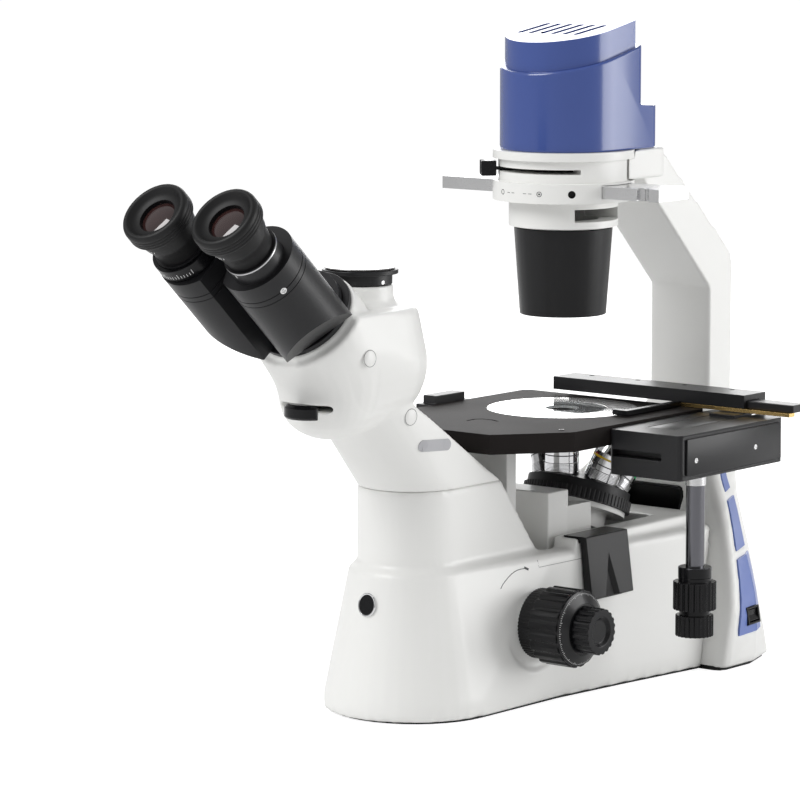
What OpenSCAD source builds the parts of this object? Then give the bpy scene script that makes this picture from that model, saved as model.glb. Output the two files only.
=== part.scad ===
// Inverted microscope with trinocular head, mechanical stage and quintuple nosepiece.
// Millimetres, +Z up. The user sits at -Y and looks along +Y, +X is the user's right.
// The origin is on the desk plane, straight below the optical axis of the objective.

/* [Stand] */
// Height of the base top where the riser stands on it
base_h = 103; // [96:1:106]
// Radius of the rounded front of the base at the desk
base_front_r = 62; // [56:1:66]
// Distance from the optical axis back to the centre of the rounded front
front_setback = 173; // [165:1:180]
// Half width of the base beside the optical axis at the desk
base_half_w = 70; // [66:1:76]
// Half width of the splayed rear foot
foot_half_w = 99; // [94:1:104]
// Distance from the optical axis to the back of the stand
stand_back = 182; // [178:1:190]
// Height of the rubber rim that the stand rests on
rim_h = 4; // [2:0.5:5]
// Wall thickness of the hollow stand
wall = 6; // [4:0.5:8]
// Half width of the riser between base and head
riser_half_w = 38.5; // [36:0.5:41]
// Height of the seam between riser and head
seam_h = 158; // [152:1:164]
// Half width of the pillar and of the arm
pillar_half_w = 27; // [24:0.5:30]
// Distance from the optical axis to the front face of the pillar
pillar_front = 146; // [140:1:150]
// Depth of the pillar from front to back
pillar_depth = 30; // [26:0.5:34]

/* [Stage] */
// Height of the stage surface above the desk
stage_top = 193; // [190:0.5:196]
// Thickness of the stage plate
stage_t = 14; // [11:0.5:16]
// Half width of the stage plate
stage_half_w = 82; // [78:0.5:84]
// Distance from the optical axis to the front edge of the stage plate
stage_front = 143; // [130:1:155]
// Distance from the optical axis to the rear edge of the stage plate
stage_rear = 64; // [62:1:80]
// Diameter of the round insert in the stage plate
insert_d = 110; // [100:1:116]
// Thickness of the insert ring
insert_t = 3; // [2:0.5:4]
// Diameter of the glass disc in the insert
glass_d = 64; // [50:1:70]
// Diameter of the hole in the glass disc
specimen_d = 24; // [18:1:30]
// Outer face of the drive housing, from the optical axis
drive_outer = 145; // [138:1:150]
// Height of the drive housing
drive_h = 32; // [28:1:34]
// Diameter of the drive tube that hangs from the housing
drive_tube_d = 13.4; // [12:0.2:15]

/* [Condenser] */
// Working gap from the stage surface up to the condenser cone
condenser_gap = 69; // [60:1:72]
// Height of the black cone
cone_h = 63; // [58:1:70]
// Radius of the cone at its lower end
cone_r_low = 31.2; // [28:0.2:34]
// Radius of the cone at its upper end
cone_r_high = 35.6; // [34:0.2:37]
// Radius of the white collar above the cone
collar_r = 39.4; // [38.5:0.1:42]
// Radius of the marked ring and of the lamp flange
ring_r = 51; // [49:0.5:54]
// Half length of the phase slider
slider_half = 97; // [85:1:105]
// Radius of the lamp house at its front
lamp_r = 46; // [43:0.5:48]
// Height of the lamp house above its flange, at the front
lamp_h = 56; // [50:1:64]

/* [Nosepiece] */
// Tilt of the nosepiece axis from vertical
turret_tilt = 20; // [18:0.5:22]
// Distance from the turret axis to each objective seat
seat_r = 24; // [23:0.5:26]
// Height of the objective seat on the optical axis
seat_h = 146; // [143:0.5:148]
// Diameter of the knurled turret ring
turret_d = 80; // [76:1:84]
// Diameter of the objective barrels
objective_d = 24.6; // [20:0.2:25]
// Radius of the objective seat thread, modelled as a plain bore
thread_r = 10.1; // [9.5:0.1:10.3]

/* [Focus] */
// Distance from the optical axis forward to the focus shaft
focus_y = 109; // [106:1:112]
// Height of the focus shaft above the desk
focus_z = 58; // [54:1:60]
// Diameter of the coarse focus knob
coarse_d = 55; // [50:0.5:60]
// Length of the coarse focus knob
coarse_len = 24; // [20:0.5:28]
// Diameter of the fine focus knob
fine_d = 32.6; // [28:0.2:36]
// Length of the fine focus knob
fine_len = 14; // [10:0.5:18]
// Number of flutes round each coarse knob
coarse_flutes = 20; // [12:1:28]

/* [Head] */
// Inclination of the eyepiece tubes above horizontal
tube_tilt = 42.5; // [42:0.5:48]
// Distance between the eyes that the tubes are set to
eye_distance = 60; // [52:1:72]
// Swing radius of the eyepiece tubes about the hinge
swing_r = 37.5; // [37:0.25:40]
// Distance from the optical axis forward to the eyecups
eye_y = 405; // [395:1:412]
// Height of the eyecups above the desk
eye_z = 363; // [358:1:368]
// Diameter of the eyepiece barrels
barrel_d = 53.6; // [50:0.2:55]
// Diameter of the eyecups
eyecup_d = 48; // [44:0.5:50]
// Distance from the optical axis forward to the photo port
port_y = 230; // [226:1:234]
// Height of the photo port's top face
port_top = 309.5; // [308:0.5:314]
// Outer diameter of the photo port ring
port_d = 52; // [48:0.5:56]
// Diameter of the photo port's bore
port_bore_d = 38; // [30:0.5:40]

/* [Hidden] */
$fn = 64;

// Clearance between bodies that move past each other
gap = 0.3;
// Radial clearance of a shaft that runs in a bore
fit = 0.05;
// Overlap that lets one cut run cleanly past a face
over = 1;

// Shared colours
white = "whitesmoke";
black = "dimgray";
steel = "silver";
trim_blue = "steelblue";

// Stage levels
stage_low = stage_top - stage_t;
drive_top = stage_top - 2;
drive_low = drive_top - drive_h;
drive_in = stage_half_w - 1;
drive_front = -55;
drive_rear = 72;
tube_x = 128;
tube_y = -14;

// Condenser levels, from the stage surface upwards
cone_low = stage_top + condenser_gap;
cone_top = cone_low + cone_h;
collar_h = 19;
collar_top = cone_top + 1 + collar_h;
ring_h = 14;
ring_top = collar_top + ring_h;
band_h = 16;
band_top = ring_top + band_h;
flange_h = 6;
flange_top = band_top + flange_h;
arm_low = ring_top;
slider_t = 9;
slider_z = ring_top - slider_t - 1.5;
slider_half_d = 18;

// Pillar and arm
pillar_back = pillar_front + pillar_depth;
arm_foot = 58;
leg_front = 66;

// Riser
riser_y = -front_setback;
riser_rear = -80;

// Focus mechanism
shaft_d = 16;
pinion_d = 22;
carriage_front = -61;
rack_face = -focus_y + pinion_d / 2 + gap;
well_half_w = 38;

// Eyepiece head
barrel_top = 48;
barrel_end = 135;
neck_d = 38;
neck_top = 36;
swing_angle = asin(eye_distance / 2 / swing_r);
tube_drop = swing_r * cos(swing_angle);

// A rectangle with round corners, centred
module round_rect(x, y, r) {
    square([x - 2 * r, y], center = true);
    square([x, y - 2 * r], center = true);
    for (sx = [-1, 1], sy = [-1, 1])
        translate([sx * (x / 2 - r), sy * (y / 2 - r)]) circle(r);
}

// A straight rod or a washer along +Z
module ring(od, id, h) {
    difference() {
        cylinder(d = od, h = h);
        translate([0, 0, -over]) cylinder(d = id, h = h + 2 * over);
    }
}

// A knob along +Z with shallow flutes cut round its rim
module fluted_knob(d, h, flutes, flute_r, flute_depth) {
    difference() {
        cylinder(d = d, h = h);
        for (i = [0:flutes - 1])
            rotate(i * 360 / flutes)
                translate([d / 2 + flute_r - flute_depth, 0, -over])
                    cylinder(r = flute_r, h = h + 2 * over, $fn = 16);
    }
}

// A socket-head screw, its head up, its top face at z = 0
module screw(d) {
    translate([0, 0, -d * 0.5])
        difference() {
            cylinder(d = d, h = d * 0.5);
            translate([0, 0, d * 0.2]) cylinder(d = d * 0.5, h = d, $fn = 6);
        }
}

// A closed skin through a list of rings, each [height, list of plan points]
module loft(rings) {
    n = len(rings[0][1]);
    m = len(rings);
    points = [for (s = rings) for (p = s[1]) [p[0], p[1], s[0]]];
    sides = [for (j = [0:m - 2]) for (i = [0:n - 1]) let (k = (i + 1) % n)
        for (t = [[j * n + i, (j + 1) * n + i, (j + 1) * n + k], [j * n + i, (j + 1) * n + k, j * n + k]]) t];
    low = [[for (i = [0:n - 1]) i]];
    high = [[for (i = [n - 1:-1:0]) (m - 1) * n + i]];
    polyhedron(points, concat(sides, low, high), convexity = 6);
}

// Mirrors the right half of an outline to close it on the left
function both_sides(half) =
    concat(half, [for (i = [len(half) - 2:-1:1]) [-half[i][0], half[i][1]]]);

// Base outline: a round front, sides that open to the rear; inset pulls every side in
function base_outline(front_r, side_w, inset) = both_sides(concat(
    [for (a = [-90:10:0]) [(front_r - inset) * cos(a), riser_y + (front_r - inset) * sin(a)]],
    [[side_w * 0.9 - inset, -86], [side_w - inset, -13], [side_w * 1.13 - inset, 66],
     [side_w * 1.13 - inset, 100 - inset], [0, 100 - inset]]));

// Key heights of the rear leg: height, front corner x and y, side x and y, rear corner x and y, back
LEG = let (w = foot_half_w, b = stand_back, f = pillar_front, p = pillar_half_w, g = pillar_back) [
    [rim_h, w, leg_front, w, leg_front + 40, w * 0.9, b - 45, b],
    [45, w, leg_front + 9, w * 0.93, leg_front + 49, w * 0.77, b - 40, b - 1],
    [83, w * 0.91, leg_front + 17, w * 0.79, leg_front + 54, w * 0.63, b - 34, b - 2],
    [114, w * 0.77, leg_front + 28, w * 0.63, leg_front + 64, w * 0.47, b - 25, b - 3],
    [134, w * 0.61, leg_front + 41, w * 0.49, leg_front + 72, w * 0.4, b - 19, b - 4],
    [162, w * 0.4, f - 16, w * 0.36, f + 4, w * 0.33, f + 22, g + 1],
    [190, p - 0.7, f + 0.7, p - 0.7, f + 14, p - 1.1, f + 24, g - 0.7]];

// Segment of the key heights in which z lies
function leg_seg(z, i = 0) = i >= len(LEG) - 2 || z < LEG[i + 1][0] ? i : leg_seg(z, i + 1);
// Slope of column k at key i
function leg_slope(k, i) = let (a = max(i - 1, 0), b = min(i + 1, len(LEG) - 1))
    (LEG[b][k] - LEG[a][k]) / (LEG[b][0] - LEG[a][0]);
// Smooth value of column k at height z
function leg_at(k, z) = let (i = leg_seg(z), h = LEG[i + 1][0] - LEG[i][0], t = (z - LEG[i][0]) / h)
    (2 * t * t * t - 3 * t * t + 1) * LEG[i][k] + (t * t * t - 2 * t * t + t) * h * leg_slope(k, i)
    + (3 * t * t - 2 * t * t * t) * LEG[i + 1][k] + (t * t * t - t * t) * h * leg_slope(k, i + 1);

// Leg outline at height z, pulled in on every side by inset
function leg_outline(z, inset = 0) = let (x = leg_at(1, z) - inset, y = leg_at(2, z) + inset,
        b = leg_at(7, z) - inset) both_sides([
    [0, y], [x - 7, y], [x - 2, y + 2], [x, y + 7], [leg_at(3, z) - inset, leg_at(4, z)],
    [leg_at(5, z) - inset, leg_at(6, z)], [leg_at(5, z) * 0.88 - inset, leg_at(6, z) + 8],
    [leg_at(5, z) * 0.5, b - 2], [0, b]]);

// Rings of the rear leg, from the rim up to the pillar
leg_rings = [for (z = [rim_h, 24, 45, 64, 83, 99, 114, 124, 134, 148, 162, 176, 190]) [z, leg_outline(z)]];

// Point on the right flank at height z; t runs from the front edge (0) over the side (1) to the rear (2)
function flank(z, t) = t < 1
    ? [leg_at(1, z) + (leg_at(3, z) - leg_at(1, z)) * t, leg_at(2, z) + 7 + (leg_at(4, z) - leg_at(2, z) - 7) * t]
    : [leg_at(3, z) + (leg_at(5, z) - leg_at(3, z)) * (t - 1), leg_at(4, z) + (leg_at(6, z) - leg_at(4, z)) * (t - 1)];

// Side wall height at which the covers and knobs sit
deck_h = base_h + 8;

// White casting: base, riser and the raised deck behind it
module base_casting() {
    color(white)
        difference() {
            union() {
                loft([[rim_h, base_outline(base_front_r, base_half_w, 0)],
                      [rim_h + 8, base_outline(base_front_r, base_half_w, 0)],
                      [base_h - 3, base_outline(riser_half_w + 6, base_half_w - 7, 0)],
                      [base_h, base_outline(riser_half_w + 6, base_half_w - 7, 3)]]);
                riser_body(riser_half_w, 0);
                translate([-58, -60, base_h - 2]) cube([116, 160, deck_h - base_h + 2]);
                // Bosses behind the focus knobs
                translate([-(knob_in - gap), -focus_y, focus_z])
                    rotate([0, 90, 0]) cylinder(r = 20, h = 2 * (knob_in - gap));
            }
            // Hollow inside, open below for the bottom plate
            loft([[rim_h - over, base_outline(base_front_r, base_half_w, wall)],
                  [base_h - wall - 2, base_outline(riser_half_w + 6, base_half_w - 7, wall)]]);
            riser_body(riser_half_w - wall, wall);
            // Well for the nosepiece and its carriage
            translate([-well_half_w, -74, base_h - wall - 4]) cube([2 * well_half_w, 132, 40]);
            // Seat of the rear leg
            loft(concat([[rim_h - over, leg_outline(rim_h)]], leg_rings));
            // Bore of the focus shaft and the shallow round scoop about each knob
            translate([-120, -focus_y, focus_z]) rotate([0, 90, 0]) cylinder(d = shaft_d + 2 * fit, h = 240);
            for (s = [-1, 1])
                translate([s * (knob_in - 3), -focus_y, focus_z])
                    rotate([0, s * 90, 0])
                        difference() {
                            cylinder(r1 = 33, r2 = 46, h = 30);
                            translate([0, 0, -over]) cylinder(r = 22, h = 40);
                        }
            // Seats of the black side covers
            for (s = [-1, 1])
                mirror([s < 0 ? 1 : 0, 0, 0])
                    translate([0, cover_y0 - gap / 2, 0])
                        rotate([90, 0, 180])
                            mirror([1, 0, 0])
                                linear_extrude(cover_len + gap)
                                    polygon([[44, deck_h + 20], [90, deck_h + 20], [90, cover_low],
                                             [63, cover_low], [59, deck_h - 4], [44, deck_h - 4]]);
            // Bore for the light dial on the left wall
            translate([-90, dimmer_y, dimmer_z]) rotate([0, 90, 0]) cylinder(d = 6 + 2 * fit, h = 60);
        }
}

cover_y0 = -57;
cover_len = 50;
cover_low = 67;

// Solid of the riser: a D plan cut back along the slope behind it
module riser_body(half_w, drop) {
    difference() {
        translate([0, 0, base_h - wall - 3 - drop])
            linear_extrude(seam_h - base_h + wall + 3 + (drop > 0 ? drop + over : 0)) {
                translate([0, riser_y]) circle(half_w);
                translate([-half_w, riser_y]) square([2 * half_w, riser_rear - riser_y]);
            }
        translate([0, riser_rear - drop, base_h])
            rotate([37, 0, 0]) translate([-60, 0, -20]) cube([120, 80, 120]);
    }
}

// Side plane on which the focus knobs start
knob_in = base_half_w - 8;
dimmer_y = -150;
dimmer_z = 40;

// Steel plate that closes the base from below
module bottom_plate() {
    color("darkgray")
        translate([0, 0, rim_h])
            linear_extrude(3)
                difference() {
                    polygon(base_outline(base_front_r, base_half_w, wall + 1));
                    translate([-120, leg_front - gap]) square([240, 60]);
                    for (x = [-40, 40], y = [-150, -20]) translate([x, y]) circle(2.2);
                }
}

// Rubber rim along the edge of the stand
module rubber_rim() {
    color("black")
        linear_extrude(rim_h)
            difference() {
                union() {
                    polygon(base_outline(base_front_r, base_half_w, 2));
                    polygon(leg_outline(rim_h, 2));
                }
                polygon(base_outline(base_front_r, base_half_w, 14));
                translate([-70, leg_front + 14]) square([140, 60]);
            }
}

// White column: splayed rear leg, pillar, diagonal arm and the box that holds the lamp
module column() {
    color(white)
        difference() {
            union() {
                loft(leg_rings);
                // Pillar and diagonal arm in side profile
                translate([-pillar_half_w, 0, 0])
                    rotate([90, 0, 90])
                        linear_extrude(2 * pillar_half_w) polygon(arm_profile());
                arm_box();
            }
            // Room for the marked ring below the arm, and the ledge under the lamp flange
            translate([0, 0, band_top]) cylinder(r = ring_r + gap, h = 60);
            // Pocket of the black liner behind the nosepiece
            translate([0, liner_back, liner_low])
                rotate([90, 0, 0]) linear_extrude(80) arch(liner_half_w, liner_h, 8);
            // Recesses of the trim panels
            trim_row(gap / 2);
            // Seats of the switch and of the power inlet
            switch_place() translate([0, 0, -4]) cube([13 + gap, 19 + gap, 20], center = true);
            translate([0, stand_back - 10, 40]) cube([28 + gap, 30, 21 + gap], center = true);
        }
}

liner_half_w = 38;
liner_low = 92;
liner_h = 34;
band_r = ring_r - 4;
liner_back = 122;

// Side outline of pillar and arm, as [distance back, height]
function arm_profile() = [
    [pillar_front, 180], [pillar_front, arm_low - (pillar_front - arm_foot)],
    [arm_foot, arm_low], [arm_foot, flange_top],
    [72, flange_top], [88, flange_top - 8],
    [pillar_back - 4, arm_low - 63], [pillar_back, arm_low - 75], [pillar_back, 180]];

// Box at the top of the arm that carries ring, band and lamp flange
module arm_box() {
    translate([0, 0, arm_low])
        linear_extrude(flange_top - arm_low)
            difference() {
                union() {
                    translate([-45, 18]) square([90, 40]);
                    translate([-37, 40]) square([74, 26]);
                    for (s = [-1, 1]) translate([s * 37, 58]) circle(8);
                }
                circle(r = band_r + gap);
            }
}

// Blue trim panels set in both splayed flanks of the leg
module trim_panels() {
    color(trim_blue)
        difference() {
            trim_row(0);
            switch_place() cube([13.6, 19.6, 30], center = true);
            mirror([1, 0, 0]) switch_place() cube([13.6, 19.6, 30], center = true);
        }
}

// The three panels of each flank, grown by g on every side
module trim_row(g) {
    trim_flank(g);
    mirror([1, 0, 0]) trim_flank(g);
}

module trim_flank(g) {
    trim_panel(24, 78, 0.2, 1.5, g);
    trim_panel(84, 118, 0.2, 1.1, g);
    trim_panel(124, 140, 0.2, 0.95, g);
}

// One panel between two heights; t0 and t1 are its edges on the flank
module trim_panel(z0, z1, t0, t1, g) {
    dz = (z1 - z0) / 4;
    dt = g / 40;
    out = g > 0 ? 5 : 0.8;
    spots = t1 > 1.2 ? [t0 - dt, 1.01, t1 + dt] : [t0 - dt, t1 + dt];
    for (i = [0:len(spots) - 2])
        trim_block([z0 - g, z0 + dz, z0 + 2 * dz, z0 + 3 * dz, z1 + g], spots[i] - (i > 0 ? 0.02 : 0),
                   spots[i + 1], out, 1.6 + g);
}

// Block between two edges t and u of the flank, from out beyond its face to deep below it
module trim_block(heights, t, u, out, deep)
    loft([for (z = heights) [z, [flank(z, t) + [out, 0], flank(z, u) + [out, 0],
                                 flank(z, u) - [deep, 0], flank(z, t) - [deep, 0]]]]);

// Place of the power switch on the right flank, its outward side along +Z
module switch_place() {
    translate(concat(flank(36, 0.8) + [0.3, 0], [36])) rotate([0, 81, 7]) children();
}

// An arch: a rectangle on z = 0 whose top corners are round
module arch(half_w, h, r) {
    translate([-half_w, 0]) square([2 * half_w, h - r]);
    translate([r - half_w, 0]) square([2 * (half_w - r), h]);
    for (s = [-1, 1]) translate([s * (half_w - r), h - r]) circle(r);
}

// Black plastic lining of the recess behind the nosepiece, open to the front
module column_liner() {
    color("black")
        difference() {
            translate([0, liner_back, liner_low])
                rotate([90, 0, 0]) linear_extrude(liner_back - leg_front - 16) arch(liner_half_w, liner_h, 8);
            translate([0, liner_back - 2, liner_low + 2])
                rotate([90, 0, 0]) linear_extrude(80) arch(liner_half_w - 2, liner_h - 4, 6);
            translate([-60, leg_front + 21, liner_low]) rotate([-23, 0, 0]) translate([0, -60, -40]) cube([120, 60, 120]);
        }
}

// Black covers over the side windows, each with a V-shaped fold
module side_covers() {
    color(black)
        for (s = [-1, 1])
            mirror([s < 0 ? 1 : 0, 0, 0])
                difference() {
                    translate([0, cover_y0 + cover_len, 0])
                        rotate([90, 0, 0])
                            linear_extrude(cover_len)
                                polygon([[44, deck_h + 0.6], [64, deck_h + 0.6], [70, cover_low + gap],
                                         [63, cover_low + gap], [59, deck_h - 4], [44, deck_h - 4]]);
                    translate([74, cover_y0 + cover_len / 2, 84])
                        rotate([0, 8, 0]) rotate(45) cube([14, 14, 60], center = true);
                }
}

// Square frame of the power switch
module switch_bezel() {
    color("black")
        switch_place()
            difference() {
                translate([0, 0, -4]) cube([13, 19, 11], center = true);
                translate([0, 0, 0]) cube([9.6, 14.6, 12], center = true);
            }
}

// Rocker that tips about the bezel's middle
module power_rocker() {
    color("black")
        switch_place()
            translate([0, 0, -1.4])
                rotate([90, 0, 0])
                    rotate(9)
                        linear_extrude(14, center = true)
                            polygon([[-4.2, -1], [4.2, -1], [4.2, 2.2], [0, 0.9], [-4.2, 2.2]]);
}

// Mains inlet at the back of the stand
module power_inlet() {
    color("black")
        translate([0, stand_back + 2, 40])
            rotate([90, 0, 0])
                difference() {
                    union() {
                        linear_extrude(1.8) round_rect(34, 27, 3);
                        linear_extrude(18) round_rect(28, 21, 2);
                    }
                    translate([0, 0, -over]) linear_extrude(16) round_rect(24, 17, 2);
                }
    color(steel)
        for (x = [-7, 0, 7])
            translate([x - 1, stand_back - 14, 38 + (x == 0 ? 3 : -3)]) cube([2, 12, 4]);
}

// Brightness dial on the left wall
module dimmer_knob() {
    color(black)
        translate([-(base_half_w - 10), dimmer_y, dimmer_z])
            rotate([0, -90, 0]) {
                fluted_knob(22, 12, 18, 2, 0.8);
                translate([0, 0, -14]) cylinder(d = 6, h = 14);
            }
}

// Mirrors that fold the light below the objective and under the riser, on their wedges
module fold_mirrors() {
    fold_mirror();
    translate([0, riser_y, 0]) mirror([0, 1, 0]) fold_mirror();
}

// One mirror at 45 degrees, of a piece with the wedge that carries it
module fold_mirror() {
    half = 21 * sin(45);
    thick = 2 * sin(45);
    color("lightblue")
        translate([-15, 0, 0])
            rotate([90, 0, 90])
                linear_extrude(30)
                    polygon([[-10, rim_h + 3], [14, rim_h + 3], [14, light_z + 14 - 2 * thick],
                        [half + thick, light_z + half - thick], [half - thick, light_z + half + thick],
                        [-half - thick, light_z - half + thick], [-half + thick, light_z - half - thick],
                        [-10, light_z - 10 - 2 * thick]]);
}

light_z = 32;

// Lens tube between the two lower mirrors
module tube_lens() {
    color(steel)
        translate([0, -44, light_z])
            rotate([90, 0, 0]) {
                ring(34, 28, 42);
                translate([0, 0, 18]) cylinder(d = 28, h = 6);
            }
    color(steel) translate([-10, -72, rim_h + 3]) cube([20, 16, light_z - 16 - rim_h - 3]);
}

// Supports of the stage plate: a block on the riser's slope and a shelf on the leg
module stage_supports() {
    color(white) {
        difference() {
            translate([-24, post_y - 5.5, base_h + 5]) cube([48, 11, stage_low - base_h - 5]);
            riser_body(riser_half_w, 0);
        }
        difference() {
            union() {
                translate([-25, stage_rear - 16, stage_low - 8]) cube([50, 90, 8]);
                translate([-4, stage_rear + 10, stage_low - 30]) cube([8, 60, 24]);
            }
            translate([0, -gap / 4, 0]) loft(leg_rings);
        }
    }
}

post_y = -91.5;

// Stage plate with the stepped opening of the insert
module stage_plate() {
    color(black)
        difference() {
            translate([0, 0, stage_low])
                linear_extrude(stage_t)
                    polygon(both_sides([[0, -stage_front], [44, -stage_front],
                        [stage_half_w - 4, 42 - stage_front], [stage_half_w, 48 - stage_front],
                        [stage_half_w, stage_rear - 4], [stage_half_w - 4, stage_rear],
                        [0, stage_rear]]));
            translate([0, 0, stage_low - over]) cylinder(d = insert_d - 12, h = stage_t + 2 * over);
            translate([0, 0, stage_top - insert_t - gap]) cylinder(d = insert_d + gap, h = 10);
            // Relief below the plate over the nosepiece
            translate([-60, -36, stage_low - over]) cube([120, 84, 5]);
        }
}

// White ring of the insert, with the seat of the glass
module stage_insert() {
    color(white)
        translate([0, 0, stage_top - insert_t])
            difference() {
                cylinder(d = insert_d - gap, h = insert_t);
                translate([0, 0, 1]) cylinder(d = glass_d + gap, h = insert_t);
                translate([0, 0, -over]) cylinder(d = glass_d - 6, h = insert_t + 2 * over);
            }
}

// Glass disc with the specimen hole
module insert_glass() {
    color("lightcyan") translate([0, 0, stage_top - insert_t + 1.1]) ring(glass_d, specimen_d, insert_t - 1.1);
}

// Black bracket blocks at the left edge of the stage
module stage_bracket() {
    color(black) {
        translate([-stage_half_w - 14, -50, stage_low]) cube([14, 46, stage_t]);
        translate([-stage_half_w - 12, -44, stage_top]) cube([12, 34, 6]);
    }
}

// Drive housing on the right edge of the stage
module drive_housing() {
    color(black)
        difference() {
            translate([(stage_half_w + drive_outer - 1.2) / 2, (drive_front + drive_rear) / 2, drive_low])
                linear_extrude(drive_h)
                    round_rect(drive_outer - 1.2 - stage_half_w, drive_rear - drive_front, 4);
            // Bore of the drive tube
            translate([tube_x, tube_y, drive_low - over]) cylinder(d = drive_tube_d, h = 20);
            // Channel in which the carriage runs
            translate([carriage_x - gap, channel_front, drive_top - 9])
                cube([carriage_w + 2 * gap, drive_rear - channel_front + over, 12]);
            // Slot across the front face
            translate([stage_half_w + 3, drive_front - over, drive_low + 13]) cube([42, 9, 5]);
        }
}

carriage_x = 98;
carriage_w = 22;
channel_front = -30;

// Cover plate on the outer face, with its two screws
module drive_cover() {
    color(black)
        translate([drive_outer - 1.2, (drive_front + drive_rear) / 2, drive_low + drive_h / 2])
            rotate([90, 0, 90]) {
                linear_extrude(1.2)
                    difference() {
                        round_rect(drive_rear - drive_front - 12, drive_h - 6, 3);
                        for (x = [-36, 36]) translate([x, 1]) circle(2);
                    }
                for (x = [-36, 36]) translate([x, 1, 2]) color(steel) screw(4);
            }
}

// Carriage that slides fore and aft in the housing and carries the beam
module y_carriage() {
    color(black) {
        translate([carriage_x, beam_y0 - 12, drive_top - 9 + gap]) cube([carriage_w, 22, 9 - gap + 1.7]);
        translate([carriage_x, beam_y0, drive_top + gap]) cube([carriage_w, beam_y1 - beam_y0, 1.9]);
        translate([carriage_x, beam_y1 - 7.5, drive_top + gap]) cube([carriage_w, 7.5, beam_z - drive_top - gap]);
    }
}

beam_y0 = 57;
beam_y1 = 84;
beam_z = stage_top + 2;
beam_h = 11;
beam_x0 = -51;
beam_x1 = 120;

// Cross beam over the stage, open below for the slider
module cross_beam() {
    color(black)
        difference() {
            translate([beam_x0, beam_y0, beam_z]) cube([beam_x1 - beam_x0, beam_y1 - beam_y0, beam_h]);
            translate([beam_x0 - over, beam_y0 + 3, beam_z - over])
                cube([beam_x1 - beam_x0 + 2 * over, 16, 7 + over]);
            // The front wall is cut short over the rack
            translate([beam_x0 - over, beam_y0 - over, beam_z - over])
                cube([beam_x1 - beam_x0 + 2 * over, 6, 1.5 + over]);
            for (i = [0:3])
                translate([beam_x0 + 20 + i * 42, beam_y1 - 6, beam_z + beam_h - 3])
                    cylinder(d = 4, h = 5, $fn = 24);
        }
}

// Slider that runs across inside the beam
module x_slider() {
    color(black)
        translate([58, beam_y0 + 3 + gap, rack_top]) cube([102, 16 - 2 * gap, beam_z + 7 - gap - rack_top]);
}

rack_top = beam_z + 1.2;
rack_low = stage_top + 0.5;

// Brass rack along the front of the slider
module brass_rack() {
    color("gold") translate([60, beam_y0 - gap, rack_low]) cube([99, 7, rack_top - rack_low]);
}

// Clamp arm that holds a dish or plate
module clamp_arm() {
    color(black) {
        translate([60, beam_y0 - 66, rack_low]) cube([5, 66 - gap, 3.8]);
        translate([52, beam_y0 - 67, rack_low]) cube([13, 5, 3.8]);
    }
}

// Bright tube that hangs from the drive housing
module drive_tube() {
    color(steel)
        translate([tube_x, tube_y, tube_low])
            difference() {
                cylinder(d = drive_tube_d - 2 * fit, h = drive_low + 19 - tube_low);
                translate([0, 0, -over]) cylinder(d = 6.1, h = 100);
            }
    color(black)
        translate([tube_x, tube_y, tube_low]) ring(23.6, drive_tube_d - 2 * fit, 7);
}

tube_low = 85.3;

// Upper drive knob, for travel fore and aft
module y_knob() {
    color(black)
        translate([tube_x, tube_y, 62])
            difference() {
                union() {
                    fluted_knob(30.6, 20, 24, 1.6, 0.9);
                    translate([0, 0, 20]) cylinder(d = 23.6, h = 3);
                }
                translate([0, 0, -over]) cylinder(d = 6.1, h = 40);
            }
}

// Lower drive knob with its spindle, for travel across
module x_knob() {
    color(black)
        translate([tube_x, tube_y, 43]) {
            fluted_knob(27, 15, 24, 1.6, 0.9);
            cylinder(d = 21.7, h = 18.7);
        }
    color(steel) translate([tube_x, tube_y, 60]) cylinder(d = 6, h = drive_low - 60);
}

// Tapered black cone of the condenser
module condenser_cone() {
    color("black")
        translate([0, 0, cone_low])
            difference() {
                cylinder(r1 = cone_r_low, r2 = cone_r_high, h = cone_h);
                translate([0, 0, -over]) cylinder(r = cone_r_low - 4, h = 9);
                translate([0, 0, 6]) cylinder(r = cone_r_low - 6, h = cone_h);
            }
}

// Lenses of the condenser and the diffuser above them
module condenser_lens() {
    color("lightcyan") {
        translate([0, 0, cone_low + 1]) cylinder(r = cone_r_low - 4.1, h = 4);
        translate([0, 0, cone_top - 20]) cylinder(r = cone_r_low - 6.1, h = 8);
    }
}

// White collar with the filter slot
module condenser_collar() {
    color(white)
        translate([0, 0, cone_top])
            difference() {
                union() {
                    translate([0, 0, 1]) cylinder(r = collar_r, h = collar_h);
                    cylinder(r = cone_r_high - 1, h = 2);
                }
                translate([0, 0, -over]) cylinder(r = cone_r_low - 6, h = collar_h + 3);
                intersection() {
                    translate([0, 0, 6]) cylinder(r = collar_r + over, h = 9);
                    translate([0, -26, 6]) cube([60, 52, 9]);
                }
            }
}

// Ring that guides the phase slider, and the recessed band with the iris slot
module condenser_ring() {
    color(white)
        difference() {
            union() {
                translate([0, 0, collar_top]) cylinder(r = ring_r, h = ring_h);
                translate([0, 0, ring_top]) cylinder(r = band_r, h = band_h);
                translate([0, 0, band_top]) cylinder(r = ring_r, h = flange_h);
            }
            translate([0, 0, collar_top - over]) cylinder(r = 22, h = 60);
            translate([-60, -slider_half_d - gap, slider_z - gap])
                cube([120, 2 * slider_half_d + 2 * gap, slider_t + 2 * gap]);
            // Slot of the iris lever
            translate([0, 0, iris_z - 0.4]) rotate(214) rotate_extrude(angle = 108) translate([24, 0]) square([30, 3.4]);
            translate([0, 0, iris_z - 0.6]) cylinder(r = 26, h = 3.8);
            // Clamp screw hole
            rotate(-46.6) translate([ring_r + 2, 0, collar_top + 7]) rotate([0, -90, 0]) cylinder(d = 5, h = 12);
        }
}

iris_z = ring_top + 7;

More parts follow.
